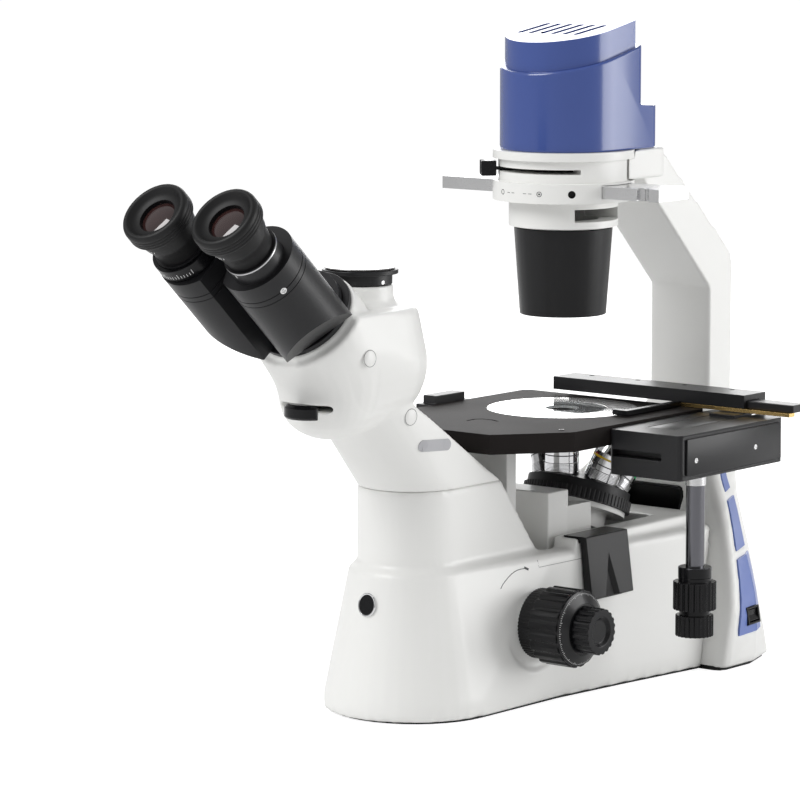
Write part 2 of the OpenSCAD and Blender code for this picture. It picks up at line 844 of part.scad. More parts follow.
// Sliding carrier of the phase rings
module phase_slider() {
    color(steel)
        translate([0, 0, slider_z])
            difference() {
                linear_extrude(slider_t)
                    difference() {
                        square([2 * slider_half, 2 * slider_half_d], center = true);
                        for (x = [-34, 0, 34]) translate([x, 0]) circle(13);
                        translate([slider_half - 14, -slider_half_d]) circle(5);
                        translate([-slider_half + 10, 0]) circle(2.4);
                    }
            }
}

// Iris ring with the black lever through the slot
module iris_lever() {
    color("black")
        translate([0, 0, iris_z]) {
            ring(50, 30, 2.6);
            rotate(-138) {
                translate([24, -2, 0]) cube([band_r - 20, 4, 2.6]);
                translate([band_r + 2, -8, -4])
                    linear_extrude(11)
                        difference() {
                            square([11, 16]);
                            translate([12, 8]) circle(4);
                        }
            }
        }
}

// Plan outline of the lamp house: round front, straight flanks, flat rear
function lamp_outline(r, rear, inset) = both_sides(concat(
    [for (a = [-90:10:0]) [(r - inset) * cos(a), (r - inset) * sin(a)]],
    [[r - inset, rear - 10], [r - inset - 3, rear - 3 - inset], [r - inset - 10, rear - inset],
     [0, rear - inset]]));

lamp_top = flange_top + lamp_h;
lamp_slope = 21;
lamp_back = 38;

// Blue lamp house with the lower step behind
module lamp_house() {
    color("royalblue")
        difference() {
            union() {
                translate([0, 0, flange_top]) linear_extrude(lamp_h + lamp_slope + 1) polygon(lamp_outline(lamp_r, lamp_back, 0));
                translate([0, 0, flange_top]) linear_extrude(31) polygon(lamp_outline(lamp_r, lamp_back + 18, 0));
            }
            // Slanted top face on which the cap lies
            translate([0, -lamp_r, lamp_top])
                rotate([13, 0, 0]) translate([-80, -40, 0]) cube([160, 200, 80]);
            translate([0, 0, flange_top - over]) linear_extrude(lamp_h - 4) polygon(lamp_outline(lamp_r, lamp_back, 5));
        }
}

// Raised cap of the lamp house with slanted vent slots
module lamp_cap() {
    color("royalblue")
        difference() {
            intersection() {
                translate([0, 0, lamp_top - 10]) linear_extrude(80) polygon(lamp_outline(lamp_r, lamp_back, 3.5));
                translate([0, -lamp_r, lamp_top])
                    rotate([13, 0, 0]) translate([-80, -40, 0]) cube([160, 200, 60]);
                translate([0, -lamp_r, lamp_top + 21])
                    rotate([11.5, 0, 0]) translate([-80, -40, -80]) cube([160, 200, 80]);
            }
            translate([0, -lamp_r, lamp_top + 21])
                rotate([11.5, 0, 0])
                    for (i = [0:5])
                        translate([-25 + i * 10, 44, -8])
                            rotate(-12) linear_extrude(20) round_rect(4.4, 30, 2.1);
        }
}

// Light source on its heat sink inside the lamp house
module lamp_module() {
    color("gold") translate([0, 0, flange_top + 10]) cylinder(d = 30, h = 2);
    color(steel)
        translate([0, 0, flange_top + 12]) {
            cylinder(d = 60, h = 5);
            for (i = [-3:3]) translate([-26, i * 8 - 1.2, 5]) cube([52, 2.4, 16]);
        }
    color(steel)
        for (s = [-1, 1]) translate([s * 24, 0, flange_top]) cylinder(d = 6, h = 12);
}

// Carriage that lifts the nosepiece, with its rail channels and the rack bar of the pinion
module focus_carriage() {
    color(white)
        difference() {
            union() {
                translate([-33.5, carriage_front, 80]) cube([67, 24, 61]);
                translate([-8, rack_face, 80]) cube([16, carriage_front - rack_face + over, 8]);
                translate([-8, rack_face, 45]) cube([16, 8, 43]);
            }
            for (s = [-1, 1])
                translate([s * 24 - 4 - gap / 2, carriage_front + 7 - gap / 2, 70])
                    cube([8 + gap, 10 + gap, 65]);
        }
}

// Fixed rails that guide the carriage, on the bottom plate
module guide_rail() {
    color(steel)
        for (s = [-1, 1])
            translate([s * 24 - 4, carriage_front + 7, rim_h + 3]) cube([8, 10, 123]);
}

// Black arm from the carriage to the pivot of the nosepiece, with the bright pivot disc
module nosepiece_arm() {
    color(black)
        difference() {
            union() {
                translate([-30, carriage_front + 24, 104]) cube([60, 32, 24]);
                turret_place() translate([0, 0, -34]) cylinder(r = 24, h = 15.7);
            }
            turret_place() translate([0, 0, -18 - gap]) cylinder(r = turret_d, h = 60);
            // Light path under the objective
            translate([0, 0, 60]) cylinder(r = 10, h = 90);
        }
    color(white)
        difference() {
            turret_place()
                difference() {
                    translate([0, 0, -22]) cylinder(r = 37, h = 4 - gap);
                    translate([0, 0, -23]) cylinder(r = 23.9, h = 10);
                }
            translate([0, 0, 60]) cylinder(r = 10, h = 90);
            translate([-60, carriage_front - 36, 60]) cube([120, 60, 90]);
        }
    color(steel) turret_place() translate([0, 0, -20]) cylinder(r = 6, h = 12);
}

// Places its children at the pivot of the nosepiece, +Z towards the seat circle's axis
module turret_place() {
    translate([0, 0, seat_h]) rotate([-turret_tilt, 0, 0]) translate([0, seat_r, 0]) children();
}

// Rotating turret with its knurled ring and five seats
module nosepiece_turret() {
    color(black)
        turret_place()
            difference() {
                union() {
                    translate([0, 0, -18]) fluted_knob(turret_d, 8, 72, 1, 0.5);
                    translate([0, 0, -11]) cylinder(d = turret_d - 4, h = 7.1);
                    translate([0, 0, -4]) cylinder(r1 = turret_d / 2 - 2, r2 = turret_d / 2 - 23, h = 21 * tan(turret_tilt));
                }
                for (i = [0:4])
                    rotate(i * 72)
                        translate([0, -seat_r, 0])
                            rotate([seat_lean, 0, 0]) {
                                translate([0, 0, -30]) cylinder(r = thread_r, h = 60);
                                cylinder(d = objective_d + 2 * gap, h = 30);
                            }
                translate([0, 0, -20]) cylinder(r = 6 + fit, h = 12 + gap);
            }
}

// Lean of each objective against the turret axis
seat_lean = turret_tilt;

// Places its children on seat number i, +Z along the objective
module seat_place(i) {
    turret_place() rotate(i * 72) translate([0, -seat_r, 0]) rotate([seat_lean, 0, 0]) children();
}

// One objective: threaded shank, barrel, nose and front lens
module objective(i, len_total, nose_d) {
    seat_place(i) {
        translate([0, 0, -8]) cylinder(r = thread_r, h = 8.1);
        cylinder(d = objective_d, h = len_total * 0.62);
        translate([0, 0, len_total * 0.62]) cylinder(d1 = objective_d - 1, d2 = nose_d, h = len_total * 0.38);
    }
}

module objective_a() { color(steel) objective(0, 36, 12); }
module objective_b() { color(steel) objective(1, 34, 14); }
module objective_c() { color(steel) objective(2, 30, 16); }
module objective_d() { color(steel) objective(4, 38, 11); }

// Cover in the unused seat
module turret_plug() {
    color(black)
        seat_place(3) {
            translate([0, 0, -8]) cylinder(r = thread_r, h = 8.1);
            cylinder(d = objective_d, h = 3);
        }
}

// Hollow coarse shaft with its pinion
module focus_shaft() {
    color(steel)
        translate([-hub_in(-1) - 5, -focus_y, focus_z])
            rotate([0, 90, 0]) {
                ring(shaft_d, 8.1, hub_in(-1) + hub_in(1) + 10);
                translate([0, 0, hub_in(-1) - 5]) ring(pinion_d, 12, 20);
            }
}

// Face of the coarse knob on each side; the right one stands off for the tension ring
function knob_face(s) = s > 0 ? knob_in + 11 : knob_in + 2;
// Inner end of the coarse knob's hub
function hub_in(s) = s > 0 ? knob_in + 4 : knob_in;
// Lengths of the coarse and fine knobs; the left ones are short
function coarse_length(s) = s > 0 ? coarse_len : coarse_len - 6;
function fine_length(s) = s > 0 ? fine_len : fine_len - 6;
// Inner face of the fine knob
function fine_face(s) = knob_face(s) + coarse_length(s) + (s > 0 ? 5 : 0) + gap;

// Coarse focus knobs on both ends of the hollow shaft
module coarse_knobs() {
    color(black)
        for (s = [-1, 1])
            translate([s * knob_face(s), -focus_y, focus_z])
                rotate([0, s * 90, 0])
                    difference() {
                        union() {
                            fluted_knob(coarse_d, coarse_length(s), coarse_flutes, 3, 1.2);
                            translate([0, 0, hub_in(s) - knob_face(s)]) cylinder(d = 24, h = 8);
                            if (s > 0) translate([0, 0, coarse_len]) cylinder(d1 = 44, d2 = 36, h = 5);
                        }
                        translate([0, 0, -20]) cylinder(d = 8.1, h = 80);
                        translate([0, 0, hub_in(s) - knob_face(s) - over]) cylinder(d = shaft_d, h = 5 + over);
                    }
}

// Fine focus knobs on the inner shaft
module fine_knobs() {
    color(black)
        for (s = [-1, 1])
            translate([s * fine_face(s), -focus_y, focus_z])
                rotate([0, s * 90, 0])
                    difference() {
                        fluted_knob(fine_d, fine_length(s), 20, 2, 0.9);
                        translate([0, 0, fine_length(s) - 2]) cylinder(d1 = 16, d2 = 24, h = 2 + over);
                    }
    color(steel)
        translate([-fine_face(-1) - over, -focus_y, focus_z])
            rotate([0, 90, 0]) cylinder(d = 8, h = fine_face(-1) + fine_face(1) + 2 * over);
}

// Ring behind the right coarse knob that sets its tension
module tension_ring() {
    color(black)
        translate([knob_in, -focus_y, focus_z])
            rotate([0, 90, 0])
                difference() {
                    fluted_knob(49.5, 10.7, 60, 1, 0.5);
                    translate([0, 0, -over]) cylinder(d = 24.1, h = 14);
                }
}

// Places its children in the frame of the tube hinge; +Z points out at the eyes, z = 0 at the eyecups
module hinge_place() {
    translate([0, -eye_y, eye_z])
        rotate([90 - tube_tilt, 0, 0])
            translate([0, tube_drop, 0])
                children();
}

// White head: round front body, tower of the photo port and the boss of the tubes
module head_housing() {
    color(white)
        difference() {
            union() {
                hull() {
                    translate([0, -port_y, port_top - 60]) sphere(r = 46, $fn = 32);
                    translate([0, -port_y - 32, port_top - 64]) sphere(r = 46, $fn = 32);
                    translate([0, -port_y, port_top - 26]) cylinder(r1 = 40, r2 = 37, h = 5, $fn = 32);
                    hinge_place() translate([0, 0, -barrel_end - 8]) cylinder(r = 42, h = 1, $fn = 32);
                }
                difference() {
                    hull() {
                        translate([0, riser_y, seam_h]) cylinder(r = riser_half_w - 0.5, h = 1, $fn = 48);
                        translate([-riser_half_w + 0.5, riser_y, seam_h]) cube([2 * riser_half_w - 1, 50, 1]);
                        translate([0, -port_y + 2, port_top - 80]) sphere(r = 36, $fn = 32);
                    }
                    // Sloping underside above the seam
                    translate([0, riser_rear - (seam_h - base_h) * tan(37), seam_h])
                        rotate([56, 0, 0]) translate([-60, 0, -3]) cube([120, 90, 140]);
                }
                translate([0, -port_y, port_top - 40]) cylinder(d = 44, h = 40 - port_ring_h);
                hinge_place() translate([0, 0, -barrel_end - 40]) cylinder(r = 36, h = 36);
            }
            translate([0, -port_y, port_top - 60]) cylinder(d = port_bore_d + 2, h = 60);
            translate([0, -port_y, port_top - port_ring_h]) cylinder(d = port_d + 2 * gap, h = 60);
            hinge_place() translate([0, 0, -barrel_end - 20]) cylinder(r = 18, h = 30);
            // Slot and pivot of the beam lever
            translate([0, lever_pivot, lever_z - 2 - gap]) {
                cylinder(r = 8 + gap, h = 4 + 2 * gap);
                for (a = [-18:6:18]) rotate(a) translate([-4 - gap, -90, 0]) cube([8 + 2 * gap, 90, 4 + 2 * gap]);
            }
        }
}

port_ring_h = 11.5;

// Lever that sends the light to the eyes or to the photo port
module beam_lever() {
    color("black")
        translate([0, lever_pivot, lever_z]) {
            translate([0, 0, -2]) cylinder(r = 8, h = 4);
            translate([-4, -lever_len, -2]) cube([8, lever_len, 4]);
            translate([-14, -lever_len - 8, -5]) cube([28, 9, 10]);
        }
}

lever_z = 224;
lever_pivot = -238;
lever_len = 68;

// Black ring of the photo port, with the shallow seat of its cap
module port_ring() {
    color("black")
        translate([0, -port_y, port_top - port_ring_h])
            difference() {
                union() {
                    cylinder(d = 44, h = 10);
                    translate([0, 0, 7]) cylinder(d = port_d, h = 3);
                }
                translate([0, 0, -over]) cylinder(d = port_bore_d, h = 20);
                translate([0, 0, 8]) cylinder(d = port_bore_d + 4, h = 20);
            }
}

// Lift-off cap of the photo port
module port_cap() {
    color("gray")
        translate([0, -port_y, port_top - port_ring_h]) {
            translate([0, 0, 8 + gap]) cylinder(d = port_bore_d + 4 - 2 * gap, h = 2.5);
            translate([0, 0, 10 + gap]) cylinder(d = port_d - 4, h = 1.2);
        }
}

// Fixed disc about which both tubes swing
module hinge_disc() {
    color("black")
        hinge_place()
            translate([0, 0, -barrel_end - 4]) {
                difference() {
                    cylinder(r = 34.7, h = 3.6);
                    translate([0, 0, -over]) cylinder(r = 9, h = 10);
                }
                ring(24, 18, 14);
            }
}

// Prism barrel beside the hinge, bevelled at the outer lower end; side is +1 right, -1 left
module barrel(side) {
    hinge_place()
        rotate(side * -(90 - swing_angle))
            difference() {
                union() {
                    difference() {
                        translate([side * (swing_r - barrel_shift), 0, -barrel_end + 0.4])
                            cylinder(d = barrel_d, h = barrel_end - barrel_top - 0.4);
                        // Flat towards the other barrel, as it lies when the tubes are closed
                        rotate(side * (90 - closed_angle))
                            translate([side > 0 ? gap - 100 : -gap, -100, -barrel_end - over]) cube([100, 200, 200]);
                    }
                    translate([0, 0, -barrel_end + (side > 0 ? 0.4 : 4.2)]) cylinder(r = 30, h = 3.4);
                    translate([side * swing_r, 0, -barrel_top - over])
                        cylinder(d = neck_d, h = barrel_top - neck_top + over);
                }
                // Room for the other barrel's hub and the fixed pin
                translate([0, 0, -barrel_end + (side > 0 ? 4.1 : -over)])
                    cylinder(r = 30.4, h = side > 0 ? 3.8 : over + 4.1);
                translate([0, 0, -barrel_end - over]) cylinder(r = 12.1, h = 20);
                // Bevel on the outer lower side
                translate([side * (swing_r - barrel_shift), 0, -barrel_end + 0.4])
                    rotate([0, side * -50, 0]) translate([-60, -60, -100]) cube([120, 120, 100]);
                // Sleeve of the eyepiece
                translate([side * swing_r, 0, -62]) cylinder(d = 23.2, h = 80);
            }
}

barrel_shift = 4.5;
closed_angle = asin(24 / swing_r);

module barrel_right() { color(black) barrel(1); }
module barrel_left() { color(black) barrel(-1); }

// Eyepiece with its eyecup, on the tube axis of one side
module eyepiece(side) {
    hinge_place()
        rotate(side * -(90 - swing_angle))
            translate([side * swing_r, 0, 0]) {
                difference() {
                    union() {
                        translate([0, 0, -12]) cylinder(d = eyecup_d, h = 12);
                        translate([0, 0, -30]) cylinder(d1 = 35, d2 = 42, h = 18);
                        translate([0, 0, -neck_top]) cylinder(d = 34, h = neck_top - 30 + over);
                        translate([0, 0, -61]) cylinder(d = 23.1, h = 61 - neck_top + over);
                    }
                    translate([0, 0, -4]) cylinder(d1 = 26, d2 = 40, h = 4 + over);
                }
            }
}

module eyepiece_right() { color("black") eyepiece(1); }
module eyepiece_left() { color("black") eyepiece(-1); }

// Ring that adjusts the left tube's sharpness
module diopter_ring() {
    color(black)
        hinge_place()
            rotate(90 - swing_angle)
                translate([-swing_r, 0, gap - barrel_top]) ring(44, neck_d + 0.2, barrel_top - neck_top - 1.5);
}

base_casting();
bottom_plate();
rubber_rim();
column();
trim_panels();
column_liner();
side_covers();
switch_bezel();
power_rocker();
power_inlet();
dimmer_knob();
fold_mirrors();
tube_lens();
stage_supports();
stage_plate();
stage_insert();
insert_glass();
stage_bracket();
drive_housing();
drive_cover();
y_carriage();
cross_beam();
x_slider();
brass_rack();
clamp_arm();
drive_tube();
y_knob();
x_knob();
condenser_cone();
condenser_lens();
condenser_collar();
condenser_ring();
phase_slider();
iris_lever();
lamp_house();
lamp_cap();
lamp_module();
focus_carriage();
guide_rail();
nosepiece_arm();
nosepiece_turret();
objective_a();
objective_b();
objective_c();
objective_d();
turret_plug();
focus_shaft();
coarse_knobs();
fine_knobs();
tension_ring();
head_housing();
beam_lever();
port_ring();
port_cap();
hinge_disc();
barrel_right();
barrel_left();
eyepiece_right();
eyepiece_left();
diopter_ring();
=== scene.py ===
"""Looks of an inverted microscope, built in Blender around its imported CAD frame.

Lengths in the classes are millimetres in the frame of the CAD part: +Z is up, the user stands at -Y and
looks along +Y, +X is the user's right, and the origin is on the desk under the optical axis.
"""

import logging
import math
from dataclasses import dataclass, field
from enum import Enum

import bmesh
import bpy
from mathutils import Matrix, Vector
from mathutils.bvhtree import BVHTree


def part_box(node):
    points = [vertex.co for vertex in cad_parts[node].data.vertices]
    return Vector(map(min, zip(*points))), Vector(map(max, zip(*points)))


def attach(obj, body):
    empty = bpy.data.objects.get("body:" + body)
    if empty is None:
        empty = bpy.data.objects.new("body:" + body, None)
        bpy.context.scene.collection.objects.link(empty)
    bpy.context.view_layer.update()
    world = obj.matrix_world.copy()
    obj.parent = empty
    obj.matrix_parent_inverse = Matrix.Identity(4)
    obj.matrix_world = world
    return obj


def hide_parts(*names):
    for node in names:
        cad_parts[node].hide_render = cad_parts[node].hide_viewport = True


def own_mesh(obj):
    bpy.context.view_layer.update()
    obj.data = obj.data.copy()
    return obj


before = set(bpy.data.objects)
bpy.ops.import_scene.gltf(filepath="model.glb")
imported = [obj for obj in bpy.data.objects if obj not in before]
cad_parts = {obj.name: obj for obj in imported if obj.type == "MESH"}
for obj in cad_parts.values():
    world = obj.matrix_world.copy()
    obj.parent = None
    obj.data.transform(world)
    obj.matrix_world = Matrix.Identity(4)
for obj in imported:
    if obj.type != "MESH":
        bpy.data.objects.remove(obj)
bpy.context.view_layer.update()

LOG = logging.getLogger("microscope")
MM = 0.001
TURN = 2 * math.pi
IMAGE_SIZE = 800
Color = tuple[float, float, float]
Triple = tuple[float, float, float]
Point = tuple[float, float]
Profile = list[Point]
Path = tuple[Point, ...]


# Shader building


class Sock:
    """A value socket of a shader that Python operators work on."""

    def __init__(self, tree: "Shader", socket: bpy.types.NodeSocket) -> None:
        """Keeps the shader and one of its output sockets."""
        self.tree = tree
        self.socket = socket

    def _math(self, operation: str, first: object, second: object) -> "Sock":
        """Adds a Math node.

        Args:
            operation: name of the Math operation.
            first: number or Sock of the first input.
            second: number or Sock of the second input.

        Returns:
            The result as a Sock.
        """
        return self.tree.node("ShaderNodeMath", {"operation": operation}, {0: first, 1: second})

    def __add__(self, other: object) -> "Sock":
        """Sum."""
        return self._math("ADD", self, other)

    __radd__ = __add__

    def __sub__(self, other: object) -> "Sock":
        """Difference."""
        return self._math("SUBTRACT", self, other)

    def __mul__(self, other: object) -> "Sock":
        """Product."""
        return self._math("MULTIPLY", self, other)

    def __gt__(self, other: object) -> "Sock":
        """1 where this is greater."""
        return self._math("GREATER_THAN", self, other)


class Shader:
    """One node material under construction."""

    def __init__(self, name: str) -> None:
        """Starts an empty material of that name."""
        self.material = bpy.data.materials.new(name)
        self.material.use_nodes = True
        self.tree = self.material.node_tree
        self.tree.nodes.clear()

    def node(self, kind: str, settings: dict | None = None, inputs: dict | None = None,
             out: object = 0) -> Sock:
        """Adds one node.

        Args:
            kind: the node's type.
            settings: its properties.
            inputs: numbers, colours or Socks by input name or index.
            out: name or index of the output that is wanted.

        Returns:
            That output as a Sock.
        """
        made = self.tree.nodes.new(kind)
        for key, value in (settings or {}).items():
            setattr(made, key, value)
        for key, value in (inputs or {}).items():
            if isinstance(value, Sock):
                self.tree.links.new(value.socket, made.inputs[key])
            elif isinstance(value, tuple) and made.inputs[key].type == "RGBA":
                made.inputs[key].default_value = (*value, 1.0)
            else:
                made.inputs[key].default_value = value
        return Sock(self, made.outputs[out])

    def place(self, stretch: Triple = (1, 1, 1)) -> Sock:
        """Object coordinates, stretched along the axes."""
        where = self.node("ShaderNodeTexCoord", out="Object")
        return self.node("ShaderNodeMapping", None, {"Vector": where, "Scale": stretch})

    def noise(self, scale: float, where: Sock, detail: float = 2.0) -> Sock:
        """Noise of that many cells a metre, from 0 to 1."""
        return self.node("ShaderNodeTexNoise", None, {"Vector": where, "Scale": scale, "Detail": detail})

    def blend(self, share: Sock, first: Color, second: Color | Sock) -> Sock:
        """Mixes two colours by a share."""
        return self.node("ShaderNodeMix", {"data_type": "RGBA"}, {0: share, 6: first, 7: second}, out=2)

    def finish(self, shader: Sock) -> bpy.types.Material:
        """Connects the surface shader and returns the material."""
        end = self.tree.nodes.new("ShaderNodeOutputMaterial")
        self.tree.links.new(shader.socket, end.inputs["Surface"])
        return self.material


@dataclass(frozen=True)
class Finish:
    """A surface finish with fine grain, a slow change of tone and uneven gloss."""

    name: str
    slot: str
    color: Color
    rough: float
    metal: float = 0.0
    coat: float = 0.0
    grain: float = 0.0003
    relief: float = 0.00002
    tone: float = 0.06
    gloss_change: float = 0.06
    stretch: Triple = (1, 1, 1)
    specular: float = 0.5

    def material(self) -> bpy.types.Material:
        """Returns the material, made once."""
        found = bpy.data.materials.get(self.name)
        return found or self.build()

    def build(self) -> bpy.types.Material:
        """Builds the node material."""
        tree = Shader(self.name)
        where = tree.place(self.stretch)
        grain = tree.noise(1 / self.grain, where, 3.0)
        slow = tree.noise(22, where, 4.0)
        dark = tuple(c * (1 - self.tone) for c in self.color)
        light = tuple(min(1.0, c * (1 + self.tone)) for c in self.color)
        rough = self.rough + (slow - 0.5) * self.gloss_change + (grain - 0.5) * self.gloss_change
        return self.surface(tree, tree.blend(slow, dark, light), rough, grain, 0.12)

    def surface(self, tree: Shader, color: Sock, rough: Sock, relief: Sock,
                coat_rough: float) -> bpy.types.Material:
        """Ends the material with its colour, roughness and relief."""
        bump = tree.node("ShaderNodeBump", None, {"Strength": 1.0, "Distance": self.relief, "Height": relief},
                         out="Normal")
        return tree.finish(tree.node("ShaderNodeBsdfPrincipled", None, {
            "Base Color": color, "Roughness": rough, "Metallic": self.metal,
            "Coat Weight": self.coat, "Coat Roughness": coat_rough, "Specular IOR Level": self.specular,
            "Normal": bump}, out="BSDF"))


@dataclass(frozen=True)
class Speckled(Finish):
    """A moulded or powder coated finish whose grain also shows as fine light specks."""

    speck: float = 1.6

    def build(self) -> bpy.types.Material:
        """Builds the node material."""
        tree = Shader(self.name)
        where = tree.place(self.stretch)
        cells = tree.node("ShaderNodeTexVoronoi", {"feature": "F1"},
                          {"Vector": where, "Scale": 1 / self.grain}, out="Distance")
        slow = tree.noise(16, where, 4.0)
        fine = tree.noise(2 / self.grain, where, 2.0)
        specks = (fine > 0.66) * 0.35
        light = tuple(min(1.0, c * self.speck) for c in self.color)
        tone = tree.blend(slow, tuple(c * (1 - self.tone) for c in self.color), self.color)
        mixed = tree.node("ShaderNodeMix", {"data_type": "RGBA"}, {0: specks, 6: tone, 7: light}, out=2)
        rough = self.rough + (slow - 0.5) * self.gloss_change + (cells - 0.4) * self.gloss_change
        return self.surface(tree, mixed, rough, cells, 0.15)


@dataclass(frozen=True)
class CoatedGlass(Finish):
    """A lens in front of dark optics, drawn opaque: its dark colour is painted shade of the optics behind it,
    and the tinted sheen of its coating is a painted reflection, blended into the colour towards the edges.
    """

    sheen: Color = (0.06, 0.022, 0.018)

    def build(self) -> bpy.types.Material:
        """Builds the node material."""
        tree = Shader(self.name)
        where = tree.place()
        # Painted reflection: the coating's tint is blended into the colour towards the edges
        facing = tree.node("ShaderNodeLayerWeight", None, {"Blend": 0.42}, out="Facing")
        slow = tree.noise(60, where, 2.0)
        share = facing * 0.8 + slow * 0.2
        return tree.finish(tree.node("ShaderNodeBsdfPrincipled", None, {
            "Base Color": tree.blend(share, self.color, self.sheen), "Roughness": self.rough + slow * 0.03,
            "Metallic": 0.1, "Coat Weight": 1.0, "Coat Roughness": 0.02}, out="BSDF"))


@dataclass(frozen=True)
class ClearGlass(Finish):
    """Clear glass that stays thin in colour."""

    def build(self) -> bpy.types.Material:
        """Builds the node material."""
        tree = Shader(self.name)
        slow = tree.noise(40, tree.place(), 2.0)
        return tree.finish(tree.node("ShaderNodeBsdfPrincipled", None, {
            "Base Color": tree.blend(slow, self.color, (0.97, 0.98, 0.98)), "Roughness": 0.02 + slow * 0.03,
            "Transmission Weight": 0.92, "IOR": 1.45}, out="BSDF"))


COAT = Speckled("white_powder_coat", "white_paint", (0.86, 0.86, 0.84), 0.38, grain=0.0007, relief=0.000018,
                tone=0.012, gloss_change=0.05, speck=1.02, coat=0.12)
SATIN = Speckled("black_satin_coat", "black_metal", (0.013, 0.013, 0.0145), 0.34, grain=0.0004,
                 relief=0.000018, tone=0.15, gloss_change=0.08, speck=1.8, specular=0.34)
MOULDED = Speckled("black_moulding", "black_plastic", (0.009, 0.009, 0.010), 0.3, grain=0.00035,
                   relief=0.000012, tone=0.15, gloss_change=0.07, speck=1.9, specular=0.26)
KNOB = Speckled("black_knob_moulding", "black_plastic", (0.006, 0.006, 0.007), 0.24, grain=0.0005,
                relief=0.000008, tone=0.15, gloss_change=0.07, speck=1.8, specular=0.26)
RUBBER = Speckled("eyecup_rubber", "rubber", (0.009, 0.009, 0.0095), 0.46, grain=0.0003, relief=0.000014,
                  tone=0.2, gloss_change=0.1, speck=2.0, specular=0.3)
BLUE = Finish("lamp_blue_gloss", "blue_plastic", (0.046, 0.084, 0.30), 0.24, coat=0.6, grain=0.0012,
              relief=0.000008, tone=0.03, gloss_change=0.04)
TRIM = Finish("trim_blue_satin", "blue_plastic", (0.125, 0.19, 0.50), 0.34, coat=0.2, grain=0.0008,
              relief=0.00001, tone=0.03, gloss_change=0.05)
CAP_GRAY = Finish("cap_gray_gloss", "cap_gray", (0.15, 0.145, 0.145), 0.2, coat=0.8, grain=0.0015,
                  relief=0.000006, tone=0.05, gloss_change=0.04)
CHROME = Finish("polished_chrome", "chrome", (0.72, 0.72, 0.73), 0.11, metal=1.0, grain=0.0005,
                relief=0.000002, tone=0.05, gloss_change=0.05)
ROD = Finish("drawn_chrome_rod", "chrome", (0.15, 0.15, 0.165), 0.2, metal=1.0, grain=0.0004, relief=0.00001,
             tone=0.12, gloss_change=0.12, stretch=(1, 1, 0.03))
DECK = Speckled("stage_deck_coat", "black_metal", (0.02, 0.0175, 0.017), 0.55, grain=0.0004, relief=0.00001,
                tone=0.12, gloss_change=0.08, speck=1.6, specular=0.04)
SLOT = Finish("slot_shadow", "black_plastic", (0.004, 0.004, 0.004), 0.9, specular=0.0)
LABEL = Finish("label_gray_foil", "gray_metal", (0.42, 0.42, 0.44), 0.4, tone=0.04)
STEEL = Finish("brushed_steel", "steel", (0.66, 0.66, 0.665), 0.26, metal=1.0, grain=0.0004, relief=0.000012,
               tone=0.08, gloss_change=0.12, stretch=(1, 0.06, 1))
TURNED = Finish("turned_aluminium", "gray_metal", (0.62, 0.62, 0.63), 0.3, metal=1.0, grain=0.0003,
                relief=0.000012, tone=0.06, gloss_change=0.1)
BRASS = Finish("satin_brass", "brass", (0.72, 0.50, 0.20), 0.26, metal=1.0, grain=0.0004, relief=0.00001,
               tone=0.08, gloss_change=0.1, stretch=(1, 0.1, 1))
MIRROR = Finish("front_mirror", "mirror", (0.85, 0.88, 0.9), 0.03, metal=1.0, relief=0.0, gloss_change=0.02)
# Opaque dark lens: its colour is painted shade of the optics behind it
LENS = CoatedGlass("coated_lens", "glass", (0.012, 0.006, 0.008), 0.05)
GLASS = ClearGlass("clear_glass", "glass", (0.90, 0.94, 0.95), 0.02)
DIAL = Finish("dial_black_gloss", "black_metal", (0.009, 0.009, 0.01), 0.3, coat=0.15, specular=0.3,
              grain=0.0006, relief=0.000006, tone=0.1, gloss_change=0.05)
WHITE_MARK = Finish("white_mark_ink", "white_paint", (0.78, 0.78, 0.78), 0.5, tone=0.05)
SEAM = Finish("seam_shadow", "white_paint", (0.30, 0.30, 0.30), 0.7, tone=0.1)
# Black ink of printed marks, also used as painted shade of the groove round the drive cover
BLACK_INK_AND_SHADE = Finish("black_ink_and_groove_shade", "black_plastic", (0.02, 0.02, 0.022), 0.5, tone=0.1)
FROST = Finish("insert_satin_metal", "gray_metal", (0.93, 0.93, 0.92), 0.2, metal=0.85, tone=0.02,
               grain=0.0006, relief=0.000004)
RED_RING = Finish("red_ring_enamel", "blue_plastic", (0.55, 0.02, 0.02), 0.3, coat=0.4)
YELLOW_RING = Finish("yellow_ring_enamel", "blue_plastic", (0.75, 0.5, 0.03), 0.3, coat=0.4)
GREEN_RING = Finish("green_ring_enamel", "blue_plastic", (0.03, 0.35, 0.12), 0.3, coat=0.4)
CYAN_RING = Finish("cyan_ring_enamel", "blue_plastic", (0.05, 0.3, 0.6), 0.3, coat=0.4)


# Mesh building


def smooth_by_angle(bm: bmesh.types.BMesh, degrees: float) -> None:
    """Shades all faces smooth and keeps edges sharp that fold by more than the angle."""
    for face in bm.faces:
        face.smooth = True
    for edge in bm.edges:
        edge.smooth = len(edge.link_faces) != 2 or edge.calc_face_angle(0.0) < math.radians(degrees)


def as_piece(bm: bmesh.types.BMesh, name: str, finish: Finish, body: str, scale: float = MM,
             sharp: float = 38) -> bpy.types.Object:
    """Ends a bmesh as a piece that rides on a body.

    Args:
        bm: the shape, in units of scale metres.
        name: the piece's name.
        finish: its finish.
        body: the CAD body that it rides on.
        scale: metres a unit.
        sharp: angle in degrees past which an edge stays sharp.

    Returns:
        The new object at the origin.
    """
    if scale != 1:
        bmesh.ops.scale(bm, vec=(scale, scale, scale), verts=bm.verts)
    smooth_by_angle(bm, sharp)
    mesh = bpy.data.meshes.new(name)
    bm.to_mesh(mesh)
    bm.free()
    piece = bpy.data.objects.new(name, mesh)
    bpy.context.scene.collection.objects.link(piece)
    mesh.materials.append(finish.material())
    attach(piece, body)
    LOG.info("%s: %d faces on %s", name, len(mesh.polygons), body)
    return piece


